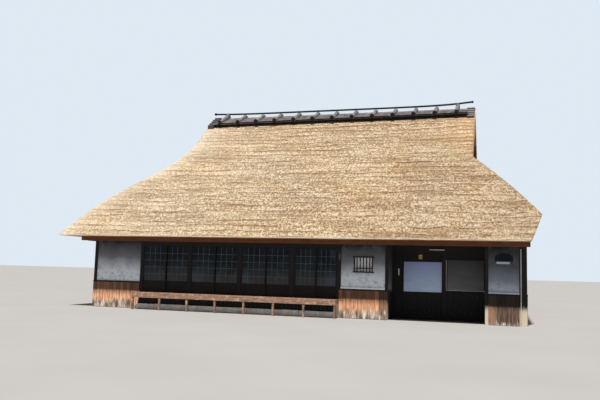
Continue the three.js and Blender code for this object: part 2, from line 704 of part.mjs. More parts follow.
// Bench veranda along the glazed doors, and the thin pipe down the right corner
function addBench() {
  const xs = [verandaXs[0], facadeDatum - 5915];
  const frontY = frontFace - benchDepth;
  const backY = boardYs[0] - seam;
  const boardBottom = benchTop - benchBoard;
  const legPlaces = stepsBetween(xs[0] + benchLegSize / 2, xs[1] - benchLegSize / 2, 7)
    .map((x) => around(x, benchLegSize));
  add('veranda_bench', union([
    block(xs, [frontY, backY], [boardBottom, benchTop]),
    block(xs, [frontY - benchEdgeThickness, frontY + lap], [benchEdgeFoot, benchTop]),
    ...legPlaces.map((legXs) => block(legXs, [frontY, backY], [benchRailFoot, boardBottom + lap])),
    ...legPlaces.map((legXs) => block(legXs, [frontY, frontY + benchLegSize], [0, benchRailFoot + lap])),
  ]), finish(0x8a5236, 0.7));
}

const pipeRadius = 18;
const pipeTop = eaveBeamZs[0] - 60;

function addCornerPipe() {
  const geometry = new THREE.CylinderGeometry(pipeRadius, pipeRadius, pipeTop, 12);
  geometry.rotateX(Math.PI / 2);
  geometry.translate(facadeDatum + 5, frontFace - pipeRadius - seam, pipeTop / 2);
  add('corner_pipe', toSolid(geometry), finish(0xd9d6cc, 0.6));
}

addBench();
addCornerPipe();

export default house;
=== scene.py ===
import bpy
import json
import random
from math import atan, ceil, cos, pi, radians, sin
from mathutils import Matrix, Vector, noise

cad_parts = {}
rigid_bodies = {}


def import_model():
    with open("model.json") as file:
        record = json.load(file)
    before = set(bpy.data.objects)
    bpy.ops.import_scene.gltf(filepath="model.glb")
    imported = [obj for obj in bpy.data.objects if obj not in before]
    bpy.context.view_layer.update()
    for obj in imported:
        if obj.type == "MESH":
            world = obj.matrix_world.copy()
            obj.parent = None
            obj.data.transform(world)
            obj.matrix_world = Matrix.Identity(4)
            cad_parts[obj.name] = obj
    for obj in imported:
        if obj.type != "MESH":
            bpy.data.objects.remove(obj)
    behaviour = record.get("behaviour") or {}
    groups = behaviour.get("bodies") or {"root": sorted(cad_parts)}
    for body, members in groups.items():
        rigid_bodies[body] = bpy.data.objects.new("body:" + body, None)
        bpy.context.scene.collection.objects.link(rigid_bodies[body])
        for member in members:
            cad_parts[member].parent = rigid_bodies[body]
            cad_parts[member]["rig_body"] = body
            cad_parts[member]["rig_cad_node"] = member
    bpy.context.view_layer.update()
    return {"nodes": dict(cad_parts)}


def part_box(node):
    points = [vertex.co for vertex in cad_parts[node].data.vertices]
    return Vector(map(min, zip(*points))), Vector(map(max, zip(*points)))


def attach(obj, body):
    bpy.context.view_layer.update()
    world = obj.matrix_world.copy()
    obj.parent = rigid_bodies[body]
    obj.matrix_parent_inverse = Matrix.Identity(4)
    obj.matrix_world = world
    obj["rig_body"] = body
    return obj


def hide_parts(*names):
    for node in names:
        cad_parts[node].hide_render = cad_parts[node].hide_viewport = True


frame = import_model()
dice = random.Random(7)
print("frame loaded")

# small helpers


def pickOnly(piece):
    bpy.ops.object.select_all(action="DESELECT")
    piece.select_set(True)
    bpy.context.view_layer.objects.active = piece


def editMode(selectKind="FACE"):
    bpy.ops.object.mode_set(mode="EDIT")
    bpy.ops.mesh.select_mode(type=selectKind)


def objectMode():
    bpy.ops.object.mode_set(mode="OBJECT")


def pickFaces(piece, test):
    # leaves the piece in edit mode with only the faces that pass the test selected
    editMode()
    bpy.ops.mesh.select_all(action="DESELECT")
    objectMode()
    for face in piece.data.polygons:
        face.select = test(face)
    editMode()


def isFront(face):
    return face.normal.y < -0.9


def insetFaces(piece, test, *steps, each=False):
    # sets the faces that pass the test in and then down, step by step
    pickFaces(piece, test)
    for thickness, depth in steps:
        bpy.ops.mesh.inset(thickness=thickness, depth=depth, use_individual=each)
    objectMode()


def pickAll(selectKind="VERT"):
    # leaves the active piece in edit mode with everything selected
    editMode(selectKind)
    bpy.ops.mesh.select_all(action="SELECT")


def saw(normal, distances, **options):
    # cuts right across the active piece along parallel planes
    for distance in distances:
        pickAll()
        bpy.ops.mesh.bisect(plane_co=Vector(normal) * distance, plane_no=normal, **options)
        objectMode()


def easeEdges(width):
    pickAll("EDGE")
    bpy.ops.mesh.bevel(offset=width, segments=1)
    objectMode()


def weld(piece, distance):
    # leaves the piece in edit mode
    pickOnly(piece)
    pickAll()
    bpy.ops.mesh.remove_doubles(threshold=distance)


def applyPlace():
    bpy.ops.object.transform_apply(location=True, rotation=True, scale=True)


def addBlock(name, low, high, bevel=0.004):
    # a sawn piece of wood with its edges eased
    low, high = Vector(low), Vector(high)
    bpy.ops.mesh.primitive_cube_add(size=1, location=(low + high) / 2, scale=high - low)
    piece = bpy.context.object
    piece.name = name
    applyPlace()
    if bevel:
        easeEdges(min(bevel, min(high - low) * 0.3))
    return piece


def addRound(name, sides, radius, length, place=(0, 0, 0), turn=(0, 0, 0), tip=None, stretch=(1, 1, 1)):
    # a round stick along z before it is turned; with a tip radius it tapers
    bpy.ops.mesh.primitive_cone_add(vertices=sides, radius1=radius, radius2=radius if tip is None else tip,
                                    depth=length, location=place, rotation=turn, scale=stretch)
    piece = bpy.context.object
    piece.name = name
    applyPlace()
    return piece


def copyPiece(piece, matrix=None):
    twin = piece.copy()
    twin.data = piece.data.copy()
    bpy.context.scene.collection.objects.link(twin)
    if matrix is not None:
        twin.data.transform(matrix)
    return twin


def joinPieces(name, pieces):
    bpy.ops.object.select_all(action="DESELECT")
    for piece in pieces:
        piece.select_set(True)
    bpy.context.view_layer.objects.active = pieces[0]
    bpy.ops.object.join()
    pieces[0].name = name
    return pieces[0]


def throwAway(*pieces):
    for piece in pieces:
        bpy.data.objects.remove(piece, do_unlink=True)


def setTone(piece, value=None):
    # one shade per board or tile, which its material reads; without a value it is drawn by chance
    value = dice.random() if value is None else value
    tones = piece.data.attributes.get("tone") or piece.data.attributes.new("tone", "FLOAT", "POINT")
    tones.data.foreach_set("value", [value] * len(piece.data.vertices))
    return piece


def addPart(low, high, bevel=0.004, value=None):
    return setTone(addBlock("part", low, high, bevel), value)


def spans(node):
    # the node's box as three pairs, along x, y and z
    return tuple(zip(*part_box(node)))


def dress(piece, finish, body="house", stands=(), smooth=0):
    piece.data.materials.clear()
    piece.data.materials.append(materials[finish])
    if smooth:
        pickOnly(piece)
        bpy.ops.object.shade_smooth_by_angle(angle=radians(smooth))
    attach(piece, body)
    if stands:
        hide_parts(*stands)


# camera

view = {
    "place": (7.327, -27.146, 1.627),
    "lens": 40.161,
    "sensor": 36,
    "reach": 300,
    "yaw": 0.29099,
    "pitch": 0.10256,
    "roll": 0.02666,
}


def addCamera():
    yaw, pitch, roll = view["yaw"], view["pitch"], view["roll"]
    ahead = Vector((-sin(yaw) * cos(pitch), cos(yaw) * cos(pitch), sin(pitch)))
    level = Vector((cos(yaw), sin(yaw), 0))
    upright = level.cross(ahead)
    right = cos(roll) * level + sin(roll) * upright
    up = -sin(roll) * level + cos(roll) * upright
    bpy.ops.object.camera_add()
    camera = bpy.context.object
    facing = Matrix((right, up, -ahead)).transposed().to_4x4()
    camera.matrix_world = Matrix.Translation(view["place"]) @ facing
    camera.data.lens = view["lens"]
    camera.data.sensor_width = view["sensor"]
    camera.data.clip_end = view["reach"]
    bpy.context.scene.camera = camera


addCamera()

# material helpers

even = (1, 1, 1)  # for noise that isn't stretched


def newPaint(name, roughness):
    paint = bpy.data.materials.new(name)
    paint.use_nodes = True
    paint.node_tree.nodes["Principled BSDF"].inputs["Roughness"].default_value = roughness
    return paint


def isSocket(value):
    return isinstance(value, bpy.types.NodeSocket)


def addNode(kind, inputs, paint=None, **settings):
    # without a paint the node joins the tree that its inputs come from
    tree = paint.node_tree if paint else next(filter(isSocket, inputs.values())).id_data
    node = tree.nodes.new(kind)
    for setting, value in settings.items():
        setattr(node, setting, value)
    for socket, value in inputs.items():
        if isSocket(value):
            tree.links.new(value, node.inputs[socket])
        else:
            node.inputs[socket].default_value = value
    return node


def objectPlace(paint):
    return addNode("ShaderNodeTexCoord", {}, paint).outputs["Object"]


def metres(paint, letter="Z"):
    # how far up from the ground, or along another axis
    return addNode("ShaderNodeSeparateXYZ", {0: objectPlace(paint)}).outputs[letter]


def speckle(paint, stretch, scale, detail=4, rough=0.6):
    place = addNode("ShaderNodeMapping", {"Vector": objectPlace(paint), "Scale": stretch})
    return addNode("ShaderNodeTexNoise", {"Vector": place.outputs[0], "Scale": scale,
                                          "Detail": detail, "Roughness": rough}).outputs[0]


def tone(paint, name="tone"):
    return addNode("ShaderNodeAttribute", {}, paint, attribute_name=name).outputs["Fac"]


def shades(value, *stops):
    ramp = addNode("ShaderNodeValToRGB", {0: value})
    while len(ramp.color_ramp.elements) < len(stops):
        ramp.color_ramp.elements.new(0.5)
    for element, (position, color) in zip(ramp.color_ramp.elements, stops):
        element.position = position
        element.color = (*color, 1)
    return ramp.outputs[0]


def spread(value, low, high, start=0, end=1):
    return addNode("ShaderNodeMapRange", {0: value, 1: low, 2: high, 3: start, 4: end}).outputs[0]


def maths(way, first, second):
    return addNode("ShaderNodeMath", {0: first, 1: second}, operation=way).outputs[0]


def times(first, second):
    return maths("MULTIPLY", first, second)


def shifted(place, by, size):
    # a height or length pushed about by noise, so that a border wanders
    return maths("ADD", place, times(by, size))


def blend(amount, under, over):
    over = (*over, 1) if isinstance(over, tuple) else over
    return addNode("ShaderNodeMix", {0: amount, 6: under, 7: over}, data_type="RGBA").outputs[2]


def stained(color, *stains):
    # further colours: each grows as its value runs from low to high, up to a share of most
    for value, low, high, most, over in stains:
        color = blend(spread(value, low, high, 0, most), color, over)
    return color


def finishPaint(paint, color, rough, *bumps):
    ends, bump = {"Base Color": color, "Roughness": rough}, {}
    for value, depth in bumps:
        relief = {"Height": value, "Distance": depth, "Strength": 1.0, **bump}
        bump = {"Normal": addNode("ShaderNodeBump", relief).outputs[0]}
    shader = paint.node_tree.nodes["Principled BSDF"]
    for name, socket in (ends | bump).items():
        if socket:
            paint.node_tree.links.new(socket, shader.inputs[name])
    return paint


def rgb(red, green, blue):
    # a colour as a paint chart gives it, 0 to 255, made linear for the shader
    return tuple(pow(max(value, 1) / 255, 2.2) for value in (red, green, blue))


# materials

thatchLook = {
    "gap": rgb(66, 40, 20),
    "stem": rgb(182, 146, 102),
    "paleStem": rgb(242, 214, 172),
    "cutEnd": rgb(255, 250, 226),
    "darkTuft": rgb(126, 92, 58),
    "weathered": rgb(142, 108, 70),
    "bleached": rgb(255, 238, 204),
    "hues": (rgb(214, 168, 116), rgb(206, 184, 160)),
    "leftEnd": rgb(255, 236, 204),
    "rightEnd": rgb(150, 116, 84),
    "paintedSunTop": rgb(255, 206, 150),
    "cutLipHighlight": rgb(255, 238, 210),
    "shadow": rgb(112, 78, 46),
    "trimmed": rgb(255, 238, 212),
    "courseHeight": 0.19,
}


def thatchPaint():
    # cut reed: pale stem ends with dark gaps between them, in courses that fade and wander
    paint, look = newPaint("thatch", 0.95), thatchLook
    height, along = metres(paint), metres(paint, "X")
    drift = speckle(paint, (0.5, 0.5, 2.8), 1.0, 5, 0.70)
    tuft = speckle(paint, (0.8, 0.8, 1.3), 7.0, 3, 0.7)
    reed = speckle(paint, (1.0, 1.0, 0.75), 15.0, 4, 0.85)
    fine = speckle(paint, (1, 1, 2), 60, 2, 0.7)
    color = shades(reed, (0.425, look["gap"]), (0.48, look["stem"]),
                   (0.535, look["paleStem"]), (0.575, look["cutEnd"]))
    color = stained(
        color,
        (tuft, 0.52, 0.62, 0.52, look["darkTuft"]),
        (drift, 0.50, 0.64, 0.60, look["weathered"]),
        (drift, 0.48, 0.36, 0.40, look["bleached"]))
    hue = shades(speckle(paint, even, 0.35, 3), (0.38, look["hues"][0]), (0.62, look["hues"][1]))
    color = blend(0.22, color, hue)
    color = stained(
        color,
        (along, 1.0, -7.0, 0.22, look["leftEnd"]),
        (along, 2.0, 8.0, 0.24, look["rightEnd"]))
    # a painted patch of sunlight, warmer towards the top right of the roof
    sunPatch = times(spread(along, 4.6, 6.6), spread(height, 5.6, 6.8))
    color = stained(color, (sunPatch, 0, 1, 0.42, look["paintedSunTop"]))
    # the courses: a pale cut lip with a painted highlight over a thin painted shadow, clearer towards the
    # ridge
    level = shifted(shifted(height, speckle(paint, (0.28, 0.28, 0.8), 1.0, 4, 0.6), 0.60),
                    speckle(paint, even, 6.0, 3, 0.7), 0.06)
    course = maths("FRACT", maths("DIVIDE", level, look["courseHeight"]), 0.0)
    shown = spread(speckle(paint, (0.6, 0.6, 2.2), 1.5, 5, 0.7), 0.42, 0.58, 0.05, 1)
    shown = maths("MAXIMUM", shown, spread(height, 5.8, 7.0, 0, 0.9))
    under = times(spread(course, 0.74, 0.90), shown)
    cutLipHighlight = times(spread(course, 0.0, 0.26, 1, 0), shown)
    color = stained(
        color,
        (cutLipHighlight, 0, 1, 0.50, look["cutLipHighlight"]),
        (under, 0, 1, 0.76, look["shadow"]))
    # painted shade darkens the grooves between the courses
    grooveShade = times(spread(tone(paint, "course"), 0, 1, 1, 0),
                   spread(tuft, 0.35, 0.50, 0.45, 1.0))
    color = stained(
        color,
        (grooveShade, 0, 1, 0.56, look["shadow"]),
        # paler along the eave's edge, and a painted highlight along the left hips' edges
        (tone(paint, "rim"), 0, 1, 0.60, look["trimmed"]))
    lying = maths("SUBTRACT", 1.0, course)
    return finishPaint(paint, color, None, (lying, 0.012), (reed, 0.05), (fine, 0.01))


timberLook = {
    "plateFoot": 2.50,  # above this the grain lies flat, as in the plates
    "sillHead": 0.10,  # and below this, as in the sills
    "paleFootFrom": 0.78,  # the posts' feet grow pale from here down to, bleaching together with painted sunlight
    "paleFootTo": 0.64,  # here, where they are palest
    "outside": 4.40,  # further out than this from the ridge line
}


def timberPaint(name, dark, light, bleached=None, picked=None, gloss=0.75):
    paint, look = newPaint(name, gloss), timberLook
    height = metres(paint)
    flat = maths("MAXIMUM", spread(height, look["plateFoot"], look["plateFoot"] + 0.04),
                 spread(height, look["sillHead"], look["sillHead"] - 0.01))
    grain = blend(flat, speckle(paint, (14, 14, 0.9), 3.0, 5, 0.65),
                  speckle(paint, (0.9, 14, 14), 3.0, 5, 0.65))
    color = shades(grain, (0.30, dark), (0.70, light))
    color = stained(color, (speckle(paint, even, 1.6, 3), 0.35, 0.7, 0.35, light))
    if bleached:
        # painted sunlight together with bleaching: the outside posts are paler below the eave's shadow line
        edge = shifted(height, speckle(paint, (3, 3, 1), 4.0, 5), 0.30)
        out = maths("ABSOLUTE", metres(paint, "Y"), 0.0)
        pale = times(spread(edge, look["paleFootFrom"], look["paleFootTo"], 0, 0.9),
                     spread(out, look["outside"], look["outside"] + 0.04))
        color = blend(pale, color, bleached)
    if picked:
        # the parts with a tone over one are painted
        color = stained(color, (tone(paint), 1.5, 2, 1, picked))
    return finishPaint(paint, color, spread(grain, 0.2, 0.8, gloss, gloss + 0.15), (grain, 0.004))


boardLook = {
    "oldBoard": rgb(112, 86, 70),
    "footGrey": rgb(160, 144, 130),
    "footPale": rgb(240, 230, 218),
    "rail": rgb(30, 26, 24),
}


def boardPaint(name, dark, light, streaked, boardShade, foot, shadeFrom=0.69, footFrom=0.66, warmEnd=None):
    # painted shade above where the eave's shadow falls, weathered below that, washed out and ragged at the
    # foot
    paint, look = newPaint(name, 0.82), boardLook
    height, value = metres(paint), tone(paint)
    grain = speckle(paint, (16, 16, 0.8), 2.4, 6, 0.65)
    streak = speckle(paint, (9, 9, 0.7), 2.0, 4, 0.6)
    color = shades(grain, (0.40, dark), (0.58, light))
    if warmEnd:
        # the boards right of this place still have their warm colour
        limit, warm = warmEnd
        along = shifted(metres(paint, "X"), streak, 0.16)
        color = stained(color, (along, limit + 0.12, limit, 0.85, warm))
    color = stained(
        color,
        (value, 0, 1, 0.45, dark),
        (streak, 0.56, 0.66, 0.65, streaked),
        (speckle(paint, (40, 40, 1.6), 2.4, 4, 0.7), 0.57, 0.67, 0.45, streaked),
        # a tone of one and a quarter marks an old grey board
        (value, 1.02, 1.25, 0.7, look["oldBoard"]))
    # painted shade: the boards take darker colours above the eave's shadow line
    wander = shifted(height, streak, 0.12)
    depth = shifted(times(grain, 0.6), value, 0.4)
    under = shades(depth, (0.36, tuple(part * 2.4 for part in boardShade)),
                   (0.62, tuple(part * 0.55 for part in boardShade)))
    color = stained(color, (wander, shadeFrom, shadeFrom + 0.05, 0.90, under))
    edge = shifted(height, speckle(paint, (6, 6, 1.0), 2.4, 5, 0.65), 0.62)
    blotch = speckle(paint, (5.0, 5.0, 1.2), 1.6, 5, 0.6)
    pale = shades(blotch, (0.40, foot), (0.50, look["footGrey"]), (0.62, look["footPale"]))
    color = stained(
        color,
        (edge, footFrom, footFrom - 0.16, 1, pale),
        # a tone of two marks the dark rail and what lies behind the boards
        (value, 1.4, 2.0, 0.9, look["rail"]))
    return finishPaint(paint, color, spread(grain, 0.2, 0.8, 0.72, 0.95), (grain, 0.004))


def plasterPaint(name, foot, middle, head, top):
    # lime plaster, painted darker upwards as painted shade under the eave, with damp blotches at the foot of
    # the wall
    paint = newPaint(name, 0.92)
    cloud = speckle(paint, even, 1.3, 5, 0.6)
    stains = speckle(paint, (1.3, 1.3, 0.9), 3.0, 6, 0.7)
    damp = speckle(paint, (1.0, 1.0, 1.8), 5.0, 5, 0.65)
    shadeHeight = shifted(metres(paint), cloud, 0.5)
    color = shades(spread(shadeHeight, 1.1, 2.8), (0.0, foot), (0.30, middle), (0.62, head), (1.0, top))
    color = stained(color, (stains, 0.52, 0.66, 0.40, rgb(112, 116, 120)))
    wet = times(spread(damp, 0.54, 0.66, 0, 0.5), spread(shadeHeight, 1.50, 1.90, 1, 0))
    color = blend(wet, color, rgb(104, 116, 126))
    return finishPaint(paint, color, None, (cloud, 0.01), (speckle(paint, even, 90, 3, 0.7), 0.002))


def tilePaint():
    # smoke-fired tile; a tone over one marks the black face tiles
    paint = newPaint("smokedTile", 0.6)
    cloud = speckle(paint, even, 5, 5, 0.7)
    spots = speckle(paint, even, 30, 4, 0.7)
    color = shades(cloud, (0.32, rgb(110, 105, 108)), (0.66, rgb(170, 164, 165)))
    color = stained(
        color,
        (tone(paint), 0, 1, 0.45, rgb(80, 76, 79)),
        (spots, 0.60, 0.70, 0.35, rgb(196, 188, 178)),
        (tone(paint), 1.5, 2, 1, rgb(34, 28, 28)))
    return finishPaint(paint, color, spread(cloud, 0.2, 0.8, 0.45, 0.8), (spots, 0.003))


def lumpPaint(name, stretch, scale, detail, rough, depth, *stops):
    # bark or earth: a few colours over one coarse noise that is also the relief
    paint = newPaint(name, 0.95)
    lumps = speckle(paint, stretch, scale, detail, rough)
    return finishPaint(paint, shades(lumps, *stops), None, (lumps, depth))


def glassPaint():
    # dark panes with a painted reflection: a dull blue gleam here and there
    paint = newPaint("doorGlass", 0.08)
    ripple = speckle(paint, (1, 1, 0.6), 1.8, 2)
    color = shades(ripple, (0.3, rgb(4, 6, 9)), (0.7, rgb(20, 25, 33)))
    paintedGleam = speckle(paint, (0.6, 1, 0.45), 1.3, 2)
    color = stained(color, (paintedGleam, 0.58, 0.66, 0.6, rgb(46, 66, 82)))
    return finishPaint(paint, color, spread(ripple, 0.3, 0.7, 0.05, 0.14), (ripple, 0.004))


def sheetPaint(name, low, high, rough=0.7, top=None):
    # smooth paint, paper or metal; with a top colour it darkens upwards as painted shade over the entrance's
    # sheets
    paint = newPaint(name, rough)
    wave = speckle(paint, (0.8, 0.8, 3.0), 2.2, 4)
    fine = speckle(paint, even, 60, 3)
    color = shades(wave, (0.32, low), (0.68, high))
    if top:
        color = stained(color, (metres(paint), 1.05, 2.05, 1, top))
    return finishPaint(paint, color, spread(fine, 0.3, 0.7, rough - 0.1, rough + 0.1),
                       (wave, 0.006), (fine, 0.001))


def kerbPaint():
    # pale rubbed stone, each a little greyer or whiter than the next
    paint = newPaint("kerbStone", 0.9)
    cloud = speckle(paint, even, 4.0, 5, 0.65)
    color = shades(cloud, (0.34, rgb(226, 214, 200)), (0.60, rgb(255, 252, 246)))
    color = stained(color, (tone(paint), 0, 1, 0.25, rgb(206, 192, 178)))
    return finishPaint(paint, color, None, (cloud, 0.008), (speckle(paint, even, 60, 3, 0.7), 0.002))


def benchPaint(name, dark, light, aged):
    # planks that lie along x, worn pale in patches
    paint = newPaint(name, 0.7)
    grain = speckle(paint, (0.7, 12, 12), 3.2, 5, 0.65)
    color = shades(grain, (0.36, dark), (0.64, light))
    color = stained(color, (tone(paint), 0, 1, 0.6, aged))
    worn = speckle(paint, (2.4, 2.4, 2.4), 3, 4)
    color = stained(color, (worn, 0.52, 0.66, 0.6, rgb(226, 188, 160)))
    return finishPaint(paint, color, spread(grain, 0.2, 0.8, 0.55, 0.85), (grain, 0.003))


materials = {
    "thatch": thatchPaint(),
    "dark_timber": timberPaint("darkTimber", rgb(12, 11, 12), rgb(40, 34, 32), rgb(222, 206, 184)),
    "eave_timber": timberPaint("eaveTimber", rgb(70, 36, 20), rgb(122, 72, 42)),
    "bark": lumpPaint("bark", (1, 1, 3), 9, 5, 0.75, 0.03, (0.35, rgb(26, 20, 16)),
                      (0.58, rgb(66, 54, 44)), (0.72, rgb(150, 134, 112))),
    "roof_tile": tilePaint(),
    "pole": timberPaint("poleWood", rgb(14, 12, 14), rgb(40, 36, 36)),
    "glass": glassPaint(),
    "plaster": plasterPaint("plaster", rgb(242, 250, 255), rgb(226, 234, 246), rgb(116, 120, 128),
                            rgb(36, 34, 34)),
    # darker copies of the plaster as painted shade: the corner wall's, and the entrance's deeper in
    "paintedShadePlaster": plasterPaint("paintedShadePlaster", rgb(216, 228, 246), rgb(136, 144, 160),
                                  rgb(86, 90, 98), rgb(34, 33, 34)),
    "paintedRecessShadePlaster": plasterPaint("paintedRecessShadePlaster", rgb(150, 146, 146), rgb(96, 94, 98), rgb(66, 64, 66),
                                 rgb(30, 30, 31)),
    "paper": sheetPaint("paper", rgb(246, 248, 250), rgb(255, 255, 255), 0.85),
    "boards": boardPaint("wallBoards", rgb(212, 132, 90), rgb(255, 214, 176), rgb(160, 78, 44),
                         rgb(80, 56, 42), rgb(104, 88, 76)),
    "greyBoards": boardPaint("weatheredBoards", rgb(76, 56, 46), rgb(136, 112, 98), rgb(66, 46, 38),
                             rgb(20, 16, 15), rgb(150, 134, 122), 0.62, 0.44,
                             (7.18, rgb(196, 150, 120))),
    "gableBoards": timberPaint("gableWood", rgb(46, 30, 22), rgb(96, 68, 50)),
    "door_boards": timberPaint("doorWood", rgb(9, 9, 11), rgb(30, 27, 28), None, rgb(82, 100, 112)),
    "floor_boards": benchPaint("floorWood", rgb(110, 62, 40), rgb(176, 112, 76), rgb(96, 62, 46)),
    "earth": lumpPaint("tampedEarth", even, 7, 6, 0.65, 0.01, (0.3, rgb(104, 92, 80)),
                       (0.7, rgb(150, 138, 122))),
    "kerb": kerbPaint(),
    "bench": benchPaint("benchWood", rgb(106, 78, 62), rgb(190, 150, 126), rgb(98, 80, 70)),
    "pipe": sheetPaint("pipeGrey", rgb(176, 176, 174), rgb(204, 204, 202), 0.5),
    # a white sheet tinted blue as painted sky light, darkening upwards as painted shade
    "sheet": sheetPaint("paleSheet", rgb(188, 214, 255), rgb(204, 228, 255), 0.5, rgb(142, 152, 208)),
    "greySheet": sheetPaint("greySheet", rgb(94, 97, 100), rgb(110, 113, 116), 0.6, rgb(58, 59, 60)),
    "tagPaint": sheetPaint("tagPaint", rgb(168, 138, 70), rgb(206, 180, 112), 0.6),
    "sillPaint": sheetPaint("sillPaint", rgb(172, 184, 206), rgb(198, 210, 232), 0.8),
    "ovalPaint": sheetPaint("ovalPaint", rgb(80, 81, 84), rgb(94, 95, 98), 0.7),
    "whitePaint": sheetPaint("whitePaint", rgb(228, 232, 238), rgb(250, 252, 255), 0.6),
    "ledge": sheetPaint("ledgePaint", rgb(232, 240, 250), rgb(250, 253, 255), 0.8),
}
print("materials made")

# thatch

thatch = {
    "rowStep": 0.030,  # height between two cuts over the slope
    "columnStep": 0.11,
    "coursePitch": 0.205,  # height between two courses
    "courseDepth": 0.020,
    "lumpDepth": 0.030,
    "tuftDepth": 0.020,
    "eaveZ": 2.66,
    "eaveRise": 0.12,  # above the eave's edge the relief grows to full depth over this
    "rimRise": 0.16,
    "paleEdge": 1.1,  # how far in from the left hips the painted highlight reaches
    "liftFoot": 7.12,  # the last layers under the ridge are packed thicker from here up
    "liftReach": 0.38,
    "liftLeft": 0.064,  # by this at the left end
    "liftPerMetre": 0.005,  # and by this more for each metre to the right
    "leftEnd": -4.8,
}


def limited(value):
    return min(1.0, max(0.0, value))


def groovesAt(point, start, pitch):
    # how deep one set of grooves is here, from 0 to 1: each wanders, widens and fades along the roof
    x, y, z = point.x, point.y, point.z
    drift = noise.noise((x * 0.33 + start, y * 0.33, z * 0.7)) * 0.16
    drift += noise.noise((x * 1.2, y * 1.2 + start, z * 1.4)) * 0.055
    drift += noise.noise((x * 5.0, y * 5.0, z * 3.0 + start)) * 0.012
    step = ((z + drift + start) / pitch) % 1
    strength = 0.50 + 1.35 * noise.noise((x * 0.45 + 7, y * 0.45 + start, z * 2.6))
    width = min(0.24, 0.17 + 0.12 * noise.noise((x * 0.8, y * 0.8 + 3, z * 3.0 + start)))
    return max(0.0, 1 - abs(step - 0.3) / width) * limited(strength)


def courseAt(point):
    # 0 in a groove between two courses, 1 on a course's face
    pitch = thatch["coursePitch"]
    return 1 - min(1.0, groovesAt(point, 0.0, pitch) + 0.8 * groovesAt(point, 0.57, pitch * 1.37))


def sinkAt(point):
    lump = 0.5 + 0.5 * noise.noise((point.x * 0.8, point.y * 0.8, point.z * 0.9))
    tuft = 0.5 + 0.5 * noise.noise((point.x * 9.0, point.y * 9.0, point.z * 14.0))
    sink = lump * thatch["lumpDepth"] + tuft * thatch["tuftDepth"]
    return sink + (1 - courseAt(point)) * thatch["courseDepth"]


def liftAt(point):
    top = limited((point.z - thatch["liftFoot"]) / thatch["liftReach"])
    lift = thatch["liftLeft"] + thatch["liftPerMetre"] * (point.x - thatch["leftEnd"])
    return top * top * (3 - 2 * top) * lift


def isOuter(face):
    return face.normal.z > 0.15 and face.center.z < 7.9


def outerPoints(mesh):
    return {v for face in mesh.polygons if isOuter(face) for v in face.vertices}


def cutFaces(piece, group, distances, normal):
    # saws the faces of the group along parallel planes
    editMode("VERT")
    for distance in distances:
        bpy.ops.mesh.select_all(action="DESELECT")
        piece.vertex_groups.active = group
        bpy.ops.object.vertex_group_select()
        bpy.ops.mesh.bisect(plane_co=Vector(normal) * distance, plane_no=normal)
    objectMode()


def spaced(start, end, step):
    count = max(1, round((end - start) / step))
    return [start + (end - start) * i / count for i in range(1, count)]


def thatchPiece(name, node, lengthwise):
    # the CAD slope with its outer face cut into small faces, in rows and in columns
    piece = copyPiece(frame["nodes"][node])
    piece.name = name
    piece.hide_render = False
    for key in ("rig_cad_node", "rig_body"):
        if key in piece:
            del piece[key]
    weld(piece, 0.0002)
    bpy.ops.mesh.dissolve_limited(angle_limit=radians(0.5))
    objectMode()
    group = piece.vertex_groups.new(name="outer")
    group.add(list(outerPoints(piece.data)), 1.0, "REPLACE")
    low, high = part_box(node)
    eave, rowStep = thatch["eaveZ"], thatch["rowStep"]
    count = ceil((high.z - 0.01 - eave) / rowStep)
    cutFaces(piece, group, [eave + rowStep * row for row in range(1, count)], (0, 0, 1))
    across = Vector((0, 0, 0))
    across[lengthwise] = 1
    cutFaces(piece, group, spaced(low[lengthwise], high[lengthwise], thatch["columnStep"]), across)
    return piece


def roughenThatch(piece, reach):
    # reach says how far a point lies towards its left hip
    mesh, eave, rowStep = piece.data, thatch["eaveZ"], thatch["rowStep"]
    outer = outerPoints(mesh)
    edge = {}
    for index in outer if reach else ():
        point = mesh.vertices[index].co
        row = round(point.z / rowStep)
        edge[row] = max(edge.get(row, -99), reach(point))
    courses = [1.0] * len(mesh.vertices)
    rims = [0.0] * len(mesh.vertices)
    for index in outer:
        vertex = mesh.vertices[index]
        point = vertex.co.copy()
        courses[index] = courseAt(point)
        # the eave's own edge stays where it is, and is paler along the edge
        rims[index] = 0.6 - min(0.6, limited((point.z - eave) / thatch["rimRise"]))
        # painted highlight along the left hips' edges, fading inwards
        if reach:
            inside = edge[round(point.z / rowStep)] - reach(point)
            rims[index] = max(rims[index], 1 - min(1.0, inside / thatch["paleEdge"]) ** 0.5)
        vertex.co.z += (liftAt(point) - sinkAt(point)) * limited((point.z - eave) / thatch["eaveRise"])
    for name, values in (("course", courses), ("rim", rims)):
        mesh.attributes.new(name, "FLOAT", "POINT").data.foreach_set("value", values)
    mesh.update()


def makeThatch():
    for name, node, lengthwise, reach in (
            ("thatchFront", "thatch_front", 0, lambda point: -point.x),
            ("thatchBack", "thatch_back", 0, lambda point: -point.x),
            ("thatchLeft", "thatch_left", 1, lambda point: abs(point.y)),
            ("thatchRight", "thatch_right", 1, None)):
        piece = thatchPiece(name, node, lengthwise)
        roughenThatch(piece, reach)
        dress(piece, "thatch", stands=[node], smooth=40)


makeThatch()
print("thatch laid")

# ridge

